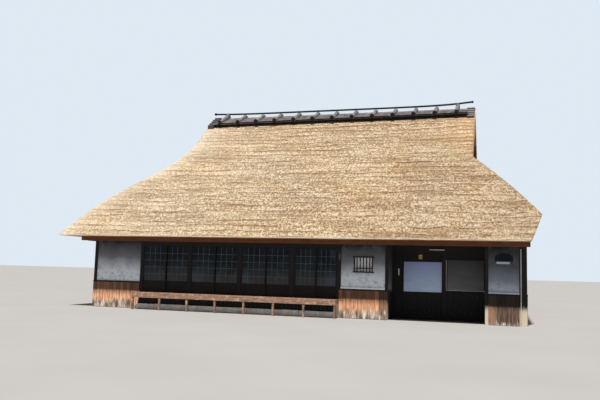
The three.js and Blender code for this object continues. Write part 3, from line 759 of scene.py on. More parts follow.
ridge = {
    "startX": -4.855,
    "endX": 6.425,
    "capHalf": 0.87,  # from the ridge line out to the tiles' edge
    "tileTop": 8.185,  # the flat tiles' faces where they meet
    "edgeLeft": 7.800,  # and at their edge: the old roof has sunk at its left end
    "edgeRight": 7.870,
    "courses": 4,
    "tilesAcross": 4,
    "tileThickness": 0.024,
    "tileLap": 0.03,
    "tileDish": 0.004,
    "firstRow": -4.245,
    "rowSpacing": 0.832,
    "rows": 13,
    "rowParts": 4,
    "rowFoot": 0.040,  # how far over the flat tiles a row ends
    "rowLength": 1.00,
    "rowRadius": 0.074,
    "rowSkirt": 0.085,
    "roundLap": 0.012,
    "crownLength": 0.30,
    "discRadius": 0.088,
    "discThickness": 0.045,
    "stackTop": 8.255,
    "stackDrop": 0.200,  # the end stacks' edge, below that of the tiles
    "stackWidth": 0.30,
    "stackTiles": 5,
    "stackRadius": 0.038,
    "stackSlip": 0.020,
    "rollRadius": 0.045,
    "rollTiles": 36,
    "knob": (0.026, 0.056),  # half width and half height
}


def edgeAt(x):
    along = (x - ridge["startX"]) / (ridge["endX"] - ridge["startX"])
    return ridge["edgeLeft"] + (ridge["edgeRight"] - ridge["edgeLeft"]) * along


def moved(x, y, z):
    return Matrix.Translation((x, y, z))


def turned(angle, letter="Z"):
    return Matrix.Rotation(angle, 4, letter)


def ridgeFrame(x, side, top, lift=0.0):
    # x, out along the slope and up from it, turned to one side of the ridge
    slope = (top - edgeAt(x) - lift) / ridge["capHalf"]
    return moved(x, 0, top) @ turned(0 if side < 0 else pi) @ turned(atan(slope), "X")


def roundTile(length, low, high, skirt):
    # one half-round tile on a skirt, a little wider at its lower end, lying along -y from the origin
    tile = addRound("tile", 16, high, length, (0, -length / 2, 0), (pi / 2, 0, 0), low)
    saw((0, 0, 1), [-0.004], clear_inner=True, use_fill=True)
    pickFaces(tile, lambda face: face.normal.z < -0.9)
    bpy.ops.mesh.extrude_region_move(TRANSFORM_OT_translate={"value": (0, 0, -skirt)})
    objectMode()
    return tile


def endDisc(radius, thickness):
    # the round face tile at the foot of a row, with a raised rim
    disc = addRound("disc", 20, radius, thickness, (0, -thickness / 2, 0), (pi / 2, 0, 0))
    insetFaces(disc, isFront, (radius * 0.16, 0), (0.004, -0.010), (radius * 0.42, 0), (0.010, 0.007))
    return disc


def flatTile(width, length):
    # one flat tile lying down the slope, slightly dished, its lower edge proud of the next one
    half = ridge["tileThickness"] / 2
    tile = addBlock("tile", (0, -length, -half), (width, 0, half), 0.003)
    saw((1, 0, 0), (width * 0.28, width * 0.72))
    for vertex in tile.data.vertices:
        if width * 0.2 < vertex.co.x < width * 0.8:
            vertex.co.z -= ridge["tileDish"]
    tile.data.transform(turned(-0.10, "X"))
    return tile


def foldedBlock(inset, half, crown, foot=None):
    # a long slab folded over the ridge under the tiles; with a foot it is solid down to there
    thickness = 0.03
    piece = addBlock("fold", (ridge["startX"] + inset, -half, 0), (ridge["endX"] - inset, half, thickness), 0)
    saw((0, 1, 0), [0])
    for vertex in piece.data.vertices:
        slope = (ridge["tileTop"] - edgeAt(vertex.co.x)) / ridge["capHalf"]
        if foot is not None and vertex.co.z < thickness / 3:
            vertex.co.z = foot
        else:
            vertex.co.z += crown - thickness - slope * abs(vertex.co.y)
    return piece


def flatTiles():
    # courses of flat tiles between the rows, on both sides
    middle = (ridge["edgeLeft"] + ridge["edgeRight"]) / 2
    slant = ridge["capHalf"] / cos(atan((ridge["tileTop"] - middle) / ridge["capHalf"]))
    width = ridge["rowSpacing"] / ridge["tilesAcross"]
    course, lap = slant / ridge["courses"], ridge["tileLap"]
    tile = flatTile(width - 0.001, course + lap)
    pieces = []
    inset = ridge["stackWidth"] - 0.10
    first, last = ridge["startX"] + inset, ridge["endX"] - inset
    start = ridge["firstRow"] - width * int((ridge["firstRow"] - first) / width)
    for side in (-1, 1):
        for column in range(int((last - start) / width)):
            x = start + column * width
            spot = ridgeFrame(x if side < 0 else x + width, side, ridge["tileTop"])
            for step in range(ridge["courses"]):
                pieces.append(setTone(copyPiece(tile, spot @ moved(0, -step * course + lap, -0.016))))
    throwAway(tile)
    return pieces


def poleFoot(x):
    # the underside of the pole over this place
    stations = {}
    for vertex in frame["nodes"]["ridge_pole"].data.vertices:
        key = round(vertex.co.x, 2)
        stations[key] = min(stations.get(key, 99), vertex.co.z)
    left = max(key for key in stations if key <= x)
    right = min(key for key in stations if key > x)
    return stations[left] + (stations[right] - stations[left]) * (x - left) / (right - left)


def crossRows():
    # rows of round tiles over the flat ones, each with a crown under the pole and a black face tile
    radius, length = ridge["rowRadius"], ridge["crownLength"]
    part = ridge["rowLength"] / ridge["rowParts"]
    tile = roundTile(part + ridge["roundLap"], radius, radius * 0.90, ridge["rowSkirt"])
    disc = endDisc(ridge["discRadius"], ridge["discThickness"])
    crown = roundTile(length, radius, radius, 0.05)
    saw((0, 1, 0), [-length * step / 8 for step in range(1, 8)])
    crown.data.transform(moved(0, length / 2, 0))
    for vertex in crown.data.vertices:
        vertex.co.z -= 2.4 * vertex.co.y ** 2
    pieces = []
    for row in range(ridge["rows"]):
        x = ridge["firstRow"] + row * ridge["rowSpacing"]
        top = poleFoot(x) - radius - 0.0005
        pieces.append(setTone(copyPiece(crown, moved(x, 0, top))))
        for side in (-1, 1):
            spot = ridgeFrame(x, side, top, ridge["rowFoot"])
            for step in range(ridge["rowParts"]):
                pieces.append(setTone(copyPiece(tile, spot @ moved(0, -step * part, -0.004))))
            pieces.append(setTone(copyPiece(disc, spot @ moved(0, -ridge["rowLength"], -0.006)), 2.0))
    throwAway(tile, disc, crown)
    return pieces


def endStacks():
    # short tiles laid in courses, one over the other, down both ends of the cap
    width, count, radius = ridge["stackWidth"], ridge["stackTiles"], ridge["stackRadius"]
    cover = roundTile(width, radius, radius, 0.010)
    cover.data.transform(turned(pi / 2))
    under = addBlock("under", (0.014, -0.070, -0.190), (width - 0.014, 0.120, -0.010), 0.006)
    drop = (ridge["stackTop"] - ridge["edgeRight"] + ridge["stackDrop"]) / ridge["capHalf"]
    pieces = []
    for side in (-1, 1):
        for left in (ridge["startX"], ridge["endX"] - width):
            for part in range(count):
                out = (part + 0.45) * ridge["capHalf"] / count
                slip = ridge["stackSlip"] * dice.random() * (1 if left < 0 else -1)
                spot = moved(left + slip, side * out, ridge["stackTop"] - drop * out)
                if side > 0:
                    spot = spot @ moved(width, 0, 0) @ turned(pi)
                pieces.append(setTone(copyPiece(cover, spot), 1.72 if left < 0 else 0.3 * dice.random()))
                pieces.append(setTone(copyPiece(under, spot), 1.9))
    throwAway(cover, under)
    return pieces


def ridgeRoll():
    # round tiles along the very top
    count, radius = ridge["rollTiles"], ridge["rollRadius"]
    step = (ridge["endX"] - ridge["startX"] - 0.04) / count
    tile = roundTile(step + ridge["roundLap"], radius, radius * 0.88, 0.03)
    pieces = []
    for index in range(count):
        spot = moved(ridge["startX"] + 0.034 + index * step, 0, ridge["tileTop"] - 0.012)
        pieces.append(setTone(copyPiece(tile, spot @ turned(pi / 2))))
    throwAway(tile)
    return pieces


def makePoleKnobs():
    # the pole is tied off with a short peg through each end
    low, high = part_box("ridge_pole")
    half, tall = ridge["knob"]
    for name, end, inward in (("Right", high.x, -0.05), ("Left", low.x, 0.05)):
        corners = [vertex.co for vertex in frame["nodes"]["ridge_pole"].data.vertices
                   if abs(vertex.co.x - end) < 0.01]
        middle = sum(corners, Vector()) / len(corners)
        x, z = middle.x + inward, middle.z
        peg = addBlock("poleKnob" + name, (x - half, -half, z - tall),
                       (x + half, half, min(z + tall, high.z)), 0.010)
        dress(peg, "pole")


barkRolls = {
    "half": 0.575,  # from the ridge line out to the bundles
    "foot": 7.600,
    "radius": 0.047,
    "length": 0.62,
    "layers": 3,
    "layerRise": 0.075,
    "layerOut": 0.012,
    "layerShift": 0.13,
    "drop": 0.135,  # the lowest layer, under the tiles' edge
    "spacing": 0.55,
}


def makeBark():
    # bundles of bark under the edge of the tiles, rough and uneven, round a packed core
    bundle = addRound("bundle", 9, barkRolls["radius"], barkRolls["length"], turn=(0, pi / 2, 0))
    saw((1, 0, 0), (-0.2, -0.1, 0.0, 0.1, 0.2))
    reach = barkRolls["length"] / 2
    pieces = [foldedBlock(0.05, barkRolls["half"], ridge["tileTop"] - 0.060, barkRolls["foot"])]
    for side in (-1, 1):
        for layer in range(barkRolls["layers"]):
            x = ridge["startX"] + 0.38 + barkRolls["layerShift"] * layer
            while x + reach < ridge["endX"] - 0.04:
                y = side * (barkRolls["half"] + barkRolls["layerOut"] * layer)
                z = edgeAt(x) - barkRolls["drop"] + barkRolls["layerRise"] * layer
                piece = copyPiece(bundle, moved(x, y, z) @ turned(dice.random() * 6.28, "X"))
                for vertex in piece.data.vertices:
                    lump = noise.noise(vertex.co * 13)
                    vertex.co += Vector((0.02 * lump, side * 0.012 * lump,
                                         0.014 * noise.noise(vertex.co * 9)))
                pieces.append(piece)
                x += barkRolls["spacing"] + 0.08 * dice.random()
    throwAway(bundle)
    dress(joinPieces("ridgeBark", pieces), "bark", stands=["ridge_bedding"])


def makeRidge():
    bed = setTone(foldedBlock(0.24, ridge["capHalf"] - 0.03, ridge["tileTop"] - 0.042), 1.7)
    tiles = joinPieces("ridgeTiles", [bed] + flatTiles() + crossRows() + endStacks() + ridgeRoll())
    dress(tiles, "roof_tile", stands=["ridge_tiles"], smooth=35)


makeRidge()
makeBark()
makePoleKnobs()
print("ridge tiled")

# boards

boardWalls = {
    "boardWidth": 0.140,
    "gap": 0.007,
    "railHeight": 0.05,
    "backing": 0.006,
    "returnHeights": (0.012, 1.0),
    "returnThickness": 0.016,
    "greyBoard": 1.25,  # the tone that its material reads as an old grey board
    "walls": (  # piece, the node it stands for, side, material, old grey boards at its end
        ("wainscotHall", "wainscot_1", "front", "boards", 2),
        ("wainscotCorner", "wainscot_2", "front", "greyBoards", 0),
        ("wainscotLeftRoom", "wainscot_left", "front", "boards", 0),
        # the skirt under the bench takes the near-black door boards as painted shade
        ("verandaSkirt", "veranda_skirt", "front", "door_boards", 0),
        ("backBoards", "back_wainscot", "back", "boards", 0),
        ("leftBoards", "left_wainscot", "left", "boards", 0),
        ("rightBoards", "right_wainscot", "right", "boards", 0),
    ),
}


def wallBlock(side, along, out, heights, bevel, value=None):
    # a block on one side of the house: along the wall, out from the middle of the house, heights
    (a0, a1), (o0, o1), (z0, z1) = along, out, heights
    low, high = {
        "front": ((a0, -o1, z0), (a1, -o0, z1)),
        "back": ((a0, o0, z0), (a1, o1, z1)),
        "left": ((-o1, a0, z0), (-o0, a1, z1)),
        "right": ((o0, a0, z0), (o1, a1, z1)),
    }[side]
    return addPart(low, high, bevel, value)


def boardWall(name, side, along, out, heights, nodes, finish, aged=0):
    # upright boards between a rail at the top and the ground, on a thin backing
    (a0, a1), (o0, o1), (z0, z1) = along, out, heights
    gap, front = boardWalls["gap"] / 2, o0 + boardWalls["backing"]
    rail = z1 - boardWalls["railHeight"]
    pieces = [wallBlock(side, along, (o0, front), heights, 0, 2.0)]
    count = max(1, round((a1 - a0) / boardWalls["boardWidth"]))
    widths = [1 + 0.25 * (dice.random() - 0.5) for _ in range(count)]
    start = a0
    for index, width in enumerate(widths):
        end = start + width * (a1 - a0) / sum(widths)
        face = o1 - 0.004 - 0.002 * dice.random()
        value = boardWalls["greyBoard"] if index >= count - aged else None
        pieces.append(wallBlock(side, (start + gap, end - gap), (front, face),
                                (z0, rail - 0.001), 0.002, value))
        start = end
    pieces.append(wallBlock(side, along, (front, o1), (rail, z1), 0.003, 2.0))
    dress(joinPieces(name, pieces), finish, stands=nodes)


def makeBoardWalls():
    for name, node, side, finish, aged in boardWalls["walls"]:
        xs, ys, heights = spans(node)
        along, out = (ys, xs) if side in ("left", "right") else (xs, ys)
        if side in ("front", "left"):
            out = (-out[1], -out[0])
        boardWall(name, side, along, out, heights, [node], finish, aged)


def makeReturnBoards():
    # dark boards stand on the side walls of the entrance too
    for name, side, node, stopNode in (
            ("returnBoardsLeft", "right", "entrance_wall_left", "entrance_side_board"),
            ("returnBoardsRight", "left", "entrance_wall_right", "entrance_panel_bay")):
        xs, ys = spans(node)[:2]
        face = xs[1] if side == "right" else -xs[0]
        boardWall(name, side, (ys[0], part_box(stopNode)[0].y - 0.002),
                  (face + 0.0003, face + boardWalls["returnThickness"]), boardWalls["returnHeights"],
                  (), "door_boards")


ledges = {
    "height": 0.052,
    "overhang": 0.006,
    "slope": 0.018,
    "places": (("ledgeHall", "wainscot_1", "plaster_wall_1", "ledge"),
               ("ledgeCorner", "wainscot_2", "plaster_wall_2", "sillPaint")),
}


def makeLedges():
    # a pale sloping strip sheds the rain from the foot of the plaster
    for name, boards, plaster, finish in ledges["places"]:
        low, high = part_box(boards)
        wall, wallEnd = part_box(plaster)
        strip = addBlock(name, (wall.x, low.y - ledges["overhang"], high.z + 0.0003),
                         (wallEnd.x, wall.y - 0.0003, high.z + ledges["height"]), 0.003)
        pickFaces(strip, isFront)
        bpy.ops.transform.resize(value=(1, 1, 0.6))
        bpy.ops.transform.translate(value=(0, 0, -ledges["slope"] / 2))
        objectMode()
        dress(strip, finish)


pipeClips = {
    "heights": (0.55, 1.45, 2.30),
    "width": 0.026,
    "proud": 0.0035,
}


def makePipeClips():
    low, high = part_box("corner_pipe")
    middle, radius = (low + high) / 2, (high.x - low.x) / 2
    for index, z in enumerate(pipeClips["heights"]):
        clip = addRound(f"pipeClip{index + 1}", 20, radius + pipeClips["proud"], pipeClips["width"],
                        (middle.x, middle.y, z))
        insetFaces(clip, lambda face: abs(face.normal.z) > 0.9, (0.0015, 0), (0.0018, -0.001))
        dress(clip, "pipe", smooth=40)


kerb = {
    "height": 0.205,
    "depth": 0.085,
    "length": 0.62,
    "gap": 0.006,
    "rounding": 0.012,
    "uneven": 0.012,
}


def makeKerb():
    # a row of pale stones stands along the foot of the skirt under the bench
    low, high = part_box("veranda_skirt")
    count = round((high.x - low.x) / kerb["length"])
    ends = [low.x] + [low.x + (high.x - low.x) * (i + 0.24 * (dice.random() - 0.5)) / count
                      for i in range(1, count)] + [high.x]
    stones = []
    for start, end in zip(ends, ends[1:]):
        proud = 0.010 * dice.random()
        stone = addBlock("stone", (start + kerb["gap"] / 2, low.y - kerb["depth"] + proud, 0),
                         (end - kerb["gap"] / 2, low.y - 0.0003, kerb["height"]), kerb["rounding"])
        pickFaces(stone, lambda face: face.normal.z > 0.9)
        bpy.ops.transform.translate(value=(0, 0, -kerb["uneven"] * dice.random()))
        objectMode()
        stones.append(setTone(stone))
    dress(joinPieces("verandaKerb", stones), "kerb")


gables = {
    "boardWidth": 0.16,
    "gap": 0.007,
    "thickness": 0.018,
    "rimGap": 0.012,
    "rimProud": 0.170,  # how far the rim stands out from the board wall
    "shortest": 0.10,
    # the rim's inner edge: distance out from the ridge line, height
    "rim": ((0.0, 7.36385), (0.49, 7.00978), (0.97, 6.63408), (1.46, 6.23528), (1.92, 5.83992)),
}


def rimAt(y):
    for (y0, z0), (y1, z1) in zip(gables["rim"], gables["rim"][1:]):
        if y0 <= abs(y) <= y1:
            return z0 + (z1 - z0) * (abs(y) - y0) / (y1 - y0)
    return gables["rim"][-1][1]


def makeGableBoards():
    # upright boards fill the triangle inside each gable's rim
    half, gap = gables["rim"][-1][0], gables["gap"] / 2
    count = round(half / gables["boardWidth"])
    for name, node, outward in (("gableBoardsLeft", "gable_left", -1),
                                ("gableBoardsRight", "gable_right", 1)):
        low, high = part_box(node)
        foot = low.z
        panel = (high.x if outward > 0 else -low.x) - gables["rimProud"]
        xs = sorted((outward * (panel + 0.0003), outward * (panel + gables["thickness"])))
        boards = []
        for index in range(-count, count):
            start, end = index * half / count, (index + 1) * half / count
            if max(rimAt(start), rimAt(end)) - foot < gables["shortest"]:
                continue
            board = addBlock("board", (xs[0], start + gap, foot + 0.004), (xs[1], end - gap, foot + 1.0), 0)
            for vertex in board.data.vertices:
                if vertex.co.z > foot + 0.5:
                    vertex.co.z = max(foot + 0.010, rimAt(vertex.co.y) - gables["rimGap"])
            easeEdges(0.002)
            boards.append(setTone(board))
        dress(joinPieces(name, boards), "gableBoards")


makeBoardWalls()
makeLedges()
makeReturnBoards()
makePipeClips()
makeKerb()
makeGableBoards()
print("board walls up")

# glazed doors

glazedDoors = {
    "stile": 0.045,
    "topRail": 0.045,
    "midRail": (1.015, 1.060),
    "footRail": 0.060,
    "barWidth": 0.013,
    "barRows": 5,
    "barColumns": 4,
    "barTone": 2.0,  # a tone over one is painted pale
    # places in from the leaf's front face
    "panelDepths": (0.010, 0.018),
    "rowDepths": (0.006, 0.022),
    "columnDepths": (0.005, 0.023),
    "paneDepths": (0.012, 0.017),
    "railInset": 0.002,  # the rails stand back from both faces of the stiles
    "panelSteps": ((0.030, 0), (0.012, -0.003)),
    "leafThickness": 0.030,
    "leafOverlap": 0.060,
    "leafBays": (2, 3, 4),
}


def glazedLeaf(name, xs, ys, zs, body="house", stands=()):
    # one sliding leaf: stiles, rails, glazing bars, the board below and its pane
    (x0, x1), (y0, y1), (z0, z1) = xs, ys, zs
    at = glazedDoors
    stile, inset, (midFoot, midHead) = at["stile"], at["railInset"], at["midRail"]
    inner, outer, top, foot = x0 + stile, x1 - stile, z1 - at["topRail"], z0 + at["footRail"]
    panelYs, rowYs, columnYs, paneYs = (
        tuple(y0 + depth for depth in at[key])
        for key in ("panelDepths", "rowDepths", "columnDepths", "paneDepths"))
    parts = [addBlock("stile", (x, y0, z0), (x + stile, y1, z1), 0.003) for x in (x0, outer)]
    for low, high in ((top, z1), (midFoot, midHead), (z0, foot)):
        parts.append(addBlock("rail", (inner, y0 + inset, low), (outer, y1 - inset, high), 0.003))
    panel = addBlock("panel", (inner, panelYs[0], foot), (outer, panelYs[1], midFoot), 0)
    insetFaces(panel, lambda face: abs(face.normal.y) > 0.9, *at["panelSteps"], each=True)
    parts = [setTone(part) for part in parts + [panel]]
    half, rows, columns = at["barWidth"] / 2, at["barRows"], at["barColumns"]
    for row in range(1, rows):
        z = midHead + (top - midHead) * row / rows
        parts.append(addPart((inner, rowYs[0], z - half), (outer, rowYs[1], z + half), 0.002,
                             at["barTone"]))
    for column in range(1, columns):
        x = inner + (outer - inner) * column / columns
        parts.append(addPart((x - half, columnYs[0], midHead), (x + half, columnYs[1], top), 0.002,
                             at["barTone"]))
    dress(joinPieces(name, parts), "door_boards", body, stands)
    pane = addBlock(name + "Glass", (inner, paneYs[0], midHead), (outer, paneYs[1], top), 0.001)
    dress(pane, "glass", body)


def makeGlazedDoors():
    for name, node in (("leafFront", "glass_door_left"), ("leafRear", "glass_door_right")):
        glazedLeaf(name, *spans(node), node, [node])
    lap, thick = glazedDoors["leafOverlap"] / 2, glazedDoors["leafThickness"]
    for bay in glazedDoors["leafBays"]:
        node = f"glass_doors_bay_{bay}"
        xs, ys, zs = spans(node)
        middle = sum(xs) / 2
        glazedLeaf(f"bay{bay}LeafFront", (xs[0], middle + lap), (ys[0], ys[0] + thick), zs, stands=[node])
        glazedLeaf(f"bay{bay}LeafRear", (middle - lap, xs[1]), (ys[1] - thick, ys[1]), zs)


makeGlazedDoors()
print("glazed doors hung")

# bench

bench = {
    "boards": 4,
    "boardThickness": 0.026,
    "legSize": 0.070,
    "legDepth": 0.090,
    "legs": 8,
    "legTop": 0.501,
    "railFoot": 0.500,
    "edgeFoot": 0.440,
    "edgeThickness": 0.020,
    "edgeTone": 0.2,
    "gap": 0.004,
    "joints": ((1, 3, 6), (2, 5)),  # the legs over which the planks of a row meet
    "edgeJoint": 4,
}


def makeBench():
    low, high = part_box("veranda_bench")
    size, edge, gap = bench["legSize"], bench["edgeThickness"], bench["gap"] / 2
    step = (high.x - low.x - size) / (bench["legs"] - 1)
    legs = [low.x + step * index for index in range(bench["legs"])]
    under, front = high.z - bench["boardThickness"], low.y + edge
    parts = []
    for x in legs:
        parts.append(addPart((x, front, 0), (x + size, low.y + bench["legDepth"], bench["legTop"]), 0.005))
        parts.append(addPart((x, front, bench["railFoot"]), (x + size, high.y, under), 0.005))
    width = (high.y - front - 0.001) / bench["boards"]
    for row in range(bench["boards"]):
        y = front + 0.001 + row * width
        joints = [low.x] + [legs[i] + size / 2 for i in bench["joints"][row % 2]] + [high.x]
        for start, end in zip(joints, joints[1:]):
            top = high.z - 0.001 * dice.random()
            parts.append(addPart((start + 0.001, y + gap, under), (end - 0.001, y + width - gap, top)))
    joint = legs[bench["edgeJoint"]] + size / 2
    for start, end in ((low.x, joint), (joint, high.x)):
        parts.append(addPart((start + 0.001, low.y, bench["edgeFoot"]),
                             (end - 0.001, front, high.z), value=bench["edgeTone"]))
    dress(joinPieces("verandaBench", parts), "bench", stands=["veranda_bench"])


makeBench()
print("bench built")

# windows

barredWindow = {
    "half": 0.3275,
    "foot": 1.575,
    "head": 2.080,
    "frame": 0.034,
    "slots": 6,
    "barWidth": 0.034,
    "midRail": 1.700,
    "railHalf": 0.013,
    "proud": 0.022,
    "depth": 0.039,
    "eaves": 0.040,
    "frontPlace": (2.8775, -4.565),
    "leftPlace": -0.11,
    "backInset": 0.370,  # the outer two at the back, in from the glass node's ends
}


def windowBars():
    # frame and bars, standing in the xz plane with the wall's outer face at y = 0
    at = barredWindow
    half, foot, head, side, rail = at["half"], at["foot"], at["head"], at["frame"], at["midRail"]
    front, back, wide = -at["proud"], at["depth"], at["half"] + at["eaves"]
    parts = [
        addBlock("side", (-half, front, foot), (side - half, back, head), 0.003),
        addBlock("side", (half - side, front, foot), (half, back, head), 0.003),
        addBlock("head", (-wide, front - 0.006, head - 0.016), (wide, back, head + 0.024)),
        addBlock("sill", (-wide, front - 0.004, foot - 0.022), (wide, back, foot + 0.014)),
        addBlock("rail", (-half, front + 0.008, rail - at["railHalf"]),
                 (half, front + 0.028, rail + at["railHalf"]), 0.002),
    ]
    for index in range(1, at["slots"]):
        x, barHalf = -half + 2 * half * index / at["slots"], at["barWidth"] / 2
        parts.append(addBlock("bar", (x - barHalf, front + 0.010, foot),
                              (x + barHalf, front + 0.030, head), 0.002))
    return joinPieces("windowBars", parts)


def makeWindows():
    bars = windowBars()
    low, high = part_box("back_windows")
    inset, backFace = barredWindow["backInset"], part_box("back_wall")[1].y
    places = [("frontWindowBars", (*barredWindow["frontPlace"], 0), 0)]
    for letter, x in (("A", low.x + inset), ("B", (low.x + high.x) / 2), ("C", high.x - inset)):
        places.append(("backWindowBars" + letter, (x, backFace, 0), pi))
    places.append(("leftWindowBars", (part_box("left_wall")[0].x, barredWindow["leftPlace"], 0), -pi / 2))
    for name, place, angle in places:
        copied = copyPiece(bars, moved(*place) @ turned(angle))
        copied.name = name
        dress(copied, "dark_timber")
    throwAway(bars)


archedWindow = {
    "middle": 7.463,
    "half": 0.275,
    "foot": 2.030,
    "spring": 2.140,
    "crown": 2.310,
    "frame": 0.020,
    "jambHalf": 0.013,
    "front": -4.572,  # the frame's front and back faces
    "back": -4.552,
    "mullionHalf": 0.009,
    "mullionDepths": (-4.548, -4.535),
    "sill": (7.230, 7.640, 1.955, 2.030),
    "sillFront": -4.588,
}


def makeArchedWindow():
    at = archedWindow
    front, back, middle, foot, spring = at["front"], at["back"], at["middle"], at["foot"], at["spring"]
    # the frame's section is swept over the arch, then squashed to the flat crown
    arch = addBlock("archFrame", (at["half"] - at["frame"], front, -0.001), (at["half"] + 0.006, back, 0.0), 0)
    pickFaces(arch, lambda face: face.normal.z > 0.9)
    bpy.ops.mesh.spin(steps=20, angle=pi, center=(0, (front + back) / 2, 0), axis=(0, 1, 0))
    objectMode()
    squash = Matrix.Scale((at["crown"] - spring) / at["half"], 4, (0, 0, 1))
    arch.data.transform(moved(middle, 0, spring) @ squash)
    parts = [arch]
    for side in (-1, 1):
        edge = middle + side * (at["half"] - at["frame"] / 2 + 0.003)
        parts.append(addBlock("jamb", (edge - at["jambHalf"], front, foot),
                              (edge + at["jambHalf"], back, spring), 0.002))
    depths, half = at["mullionDepths"], at["mullionHalf"]
    parts.append(addBlock("mullion", (middle - half, depths[0], foot),
                          (middle + half, depths[1], at["crown"] - 0.004), 0.002))
    ring = joinPieces("archFrame", parts)
    weld(ring, 0.0001)
    bpy.ops.mesh.normals_make_consistent(inside=False)
    objectMode()
    dress(ring, "dark_timber", smooth=30)
    x0, x1, z0, z1 = at["sill"]
    dress(addBlock("archSill", (x0, at["sillFront"], z0), (x1, back, z1), 0.005), "sillPaint")


makeWindows()
makeArchedWindow()
print("windows set")

# entrance; places of flat things are left, right, foot and head

entrance = {
    "stile": 0.060,
    "boardWidth": 0.16,
    "boardGap": 0.003,
    "footRail": 0.10,
    "lowRail": (0.46, 0.51),
    "ledgeBelow": (0.075, 0.010),  # how far under its sheet a leaf's ledge begins and ends
    "ledgeAbove": (0.008, 0.058),  # and how far over it the other one does
    "stileTone": 0.3,
    "railTone": 0.4,
    "sheetDoor": (4.125, 5.435, 0.950, 1.980),
    "sheetBay": (5.585, 6.852, 1.040, 2.060),
    "sheetFolds": 14,
    "sheetCrease": 0.0012,
    "creaseTurns": 43,  # how closely the creases follow each other
    "sheetTrim": 0.016,
    "plate": (4.635, 4.755, 2.070, 2.250),
    "tag": (3.940, 3.976, 1.500, 1.730),
    "oval": (2.052, 2.080),  # its middle
    "ovalHalf": (0.026, 0.118),
    "ovalThickness": 0.010,
    "lamp": (5.025, 5.505, 2.392, 2.416),
    "tubeRadius": 0.010,
}


def boardedLeaf(name, node, place, body):
    # a framed leaf with upright boards, a ledge below its sheet panel and one above
    (x0, x1), (y0, y1), (z0, z1) = spans(node)
    stile, gap, (sheetFoot, sheetHead) = entrance["stile"], entrance["boardGap"] / 2, entrance[place][2:]
    inner, outer, foot, head = x0 + stile, x1 - stile, z0 + entrance["footRail"], z1 - stile
    (low0, low1), (up0, up1) = entrance["ledgeBelow"], entrance["ledgeAbove"]
    stileTone, railTone = entrance["stileTone"], entrance["railTone"]
    parts = [addPart((x, y0, z0), (x + stile, y1, z1), value=stileTone) for x in (x0, outer)]
    for start, end, value in (
            (head, z1, stileTone), (z0, foot, stileTone), (sheetFoot - low0, sheetFoot - low1, railTone),
            (sheetHead + up0, sheetHead + up1, railTone), (*entrance["lowRail"], railTone)):
        parts.append(addPart((inner, y0 + 0.001, start), (outer, y1 - 0.002, end), value=value))
    count = round((outer - inner) / entrance["boardWidth"])
    width = (outer - inner) / count
    for index in range(count):
        x = inner + index * width
        # the boards run a little way in behind the rails
        parts.append(addPart((x + gap, y0 + 0.009, foot - 0.01),
                             (x + width - gap, y1 - 0.006, head + 0.01), 0.002))
    dress(joinPieces(name, parts), "door_boards", body, [node])


def sheetPanel(name, node, place, thick, finish, body):
    # a thin sheet held flat, its face lightly creased across
    x0, x1, z0, z1 = entrance[place]
    front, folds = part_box(node)[0].y + 0.0015, entrance["sheetFolds"]
    panel = addBlock(name, (x0, front, z0), (x1, front + thick, z1), 0.0008)
    saw((0, 0, 1), [z0 + (z1 - z0) * step / folds for step in range(1, folds)])
    for vertex in panel.data.vertices:
        if vertex.co.y < front + 0.0005:
            wave = sin(vertex.co.z * entrance["creaseTurns"] + 1.3 * sin(vertex.co.x * 3))
            vertex.co.y += entrance["sheetCrease"] * (0.5 + 0.5 * wave)
    dress(panel, finish, body, smooth=30)


def barePlate(name, place, front, back, bevel, rim, dent, finish, body="house"):
    x0, x1, z0, z1 = entrance[place]
    plate = addBlock(name, (x0, front, z0), (x1, back, z1), bevel)
    insetFaces(plate, isFront, (rim, 0), (0.002, -dent))
    dress(plate, finish, body)


def makeEntrance():
    door, bay = "entrance_door", "entrance_panel_bay"
    boardedLeaf("entranceDoor", door, "sheetDoor", door)
    sheetPanel("doorSheet", door, "sheetDoor", 0.008, "sheet", door)
    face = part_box(door)[0].y
    barePlate("doorPlate", "plate", face + 0.001, face + 0.008, 0.001, 0.008, 0.001, "tagPaint", door)
    boardedLeaf("panelBay", bay, "sheetBay", "house")
    sheetPanel("baySheet", bay, "sheetBay", 0.010, "greySheet", "house")
    x0, x1, z0, z1 = entrance["sheetBay"]
    trim, face = entrance["sheetTrim"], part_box(bay)[0].y
    front, back = face - 0.002, face + 0.006
    foot = addBlock("foot", (x0 - trim, front, z0 - trim), (x1, back, z0 - 0.0005), 0.002)
    side = addBlock("side", (x0 - trim, front, z0), (x0 - 0.0005, back, z1), 0.002)
    dress(joinPieces("sheetTrim", [foot, side]), "pipe")
    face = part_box("entrance_side_board")[0].y
    barePlate("wallTag", "tag", face - 0.008, face - 0.0003, 0.002, 0.006, 0.0015, "whitePaint")


def makeOval():
    # a small worn oval board hung on the post at the left of the hall's plaster
    (x, z), (halfWidth, halfHeight), thick = entrance["oval"], entrance["ovalHalf"], entrance["ovalThickness"]
    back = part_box("post_2")[0].y - 0.0003
    oval = addRound("postOval", 28, 1, thick, (x, back - thick / 2, z), (pi / 2, 0, 0),
                    stretch=(halfWidth, halfHeight, 1))
    insetFaces(oval, isFront, (0.004, 0), (0.0015, -0.0015))
    dress(oval, "ovalPaint", smooth=30)


def makeLamp():
    x0, x1, z0, z1 = entrance["lamp"]
    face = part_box("entrance_lintel")[0].y
    base = addBlock("lampBase", (x0 - 0.02, face - 0.028, z0 - 0.004),
                    (x1 + 0.02, face - 0.0003, z1 + 0.006), 0.005)
    dress(base, "tagPaint")
    tube = addRound("lampTube", 20, entrance["tubeRadius"], x1 - x0,
                    ((x0 + x1) / 2, face - 0.046, (z0 + z1) / 2), (0, pi / 2, 0))
    insetFaces(tube, lambda end: abs(end.normal.x) > 0.9, (0.004, 0.004))
    dress(tube, "paper", smooth=30)


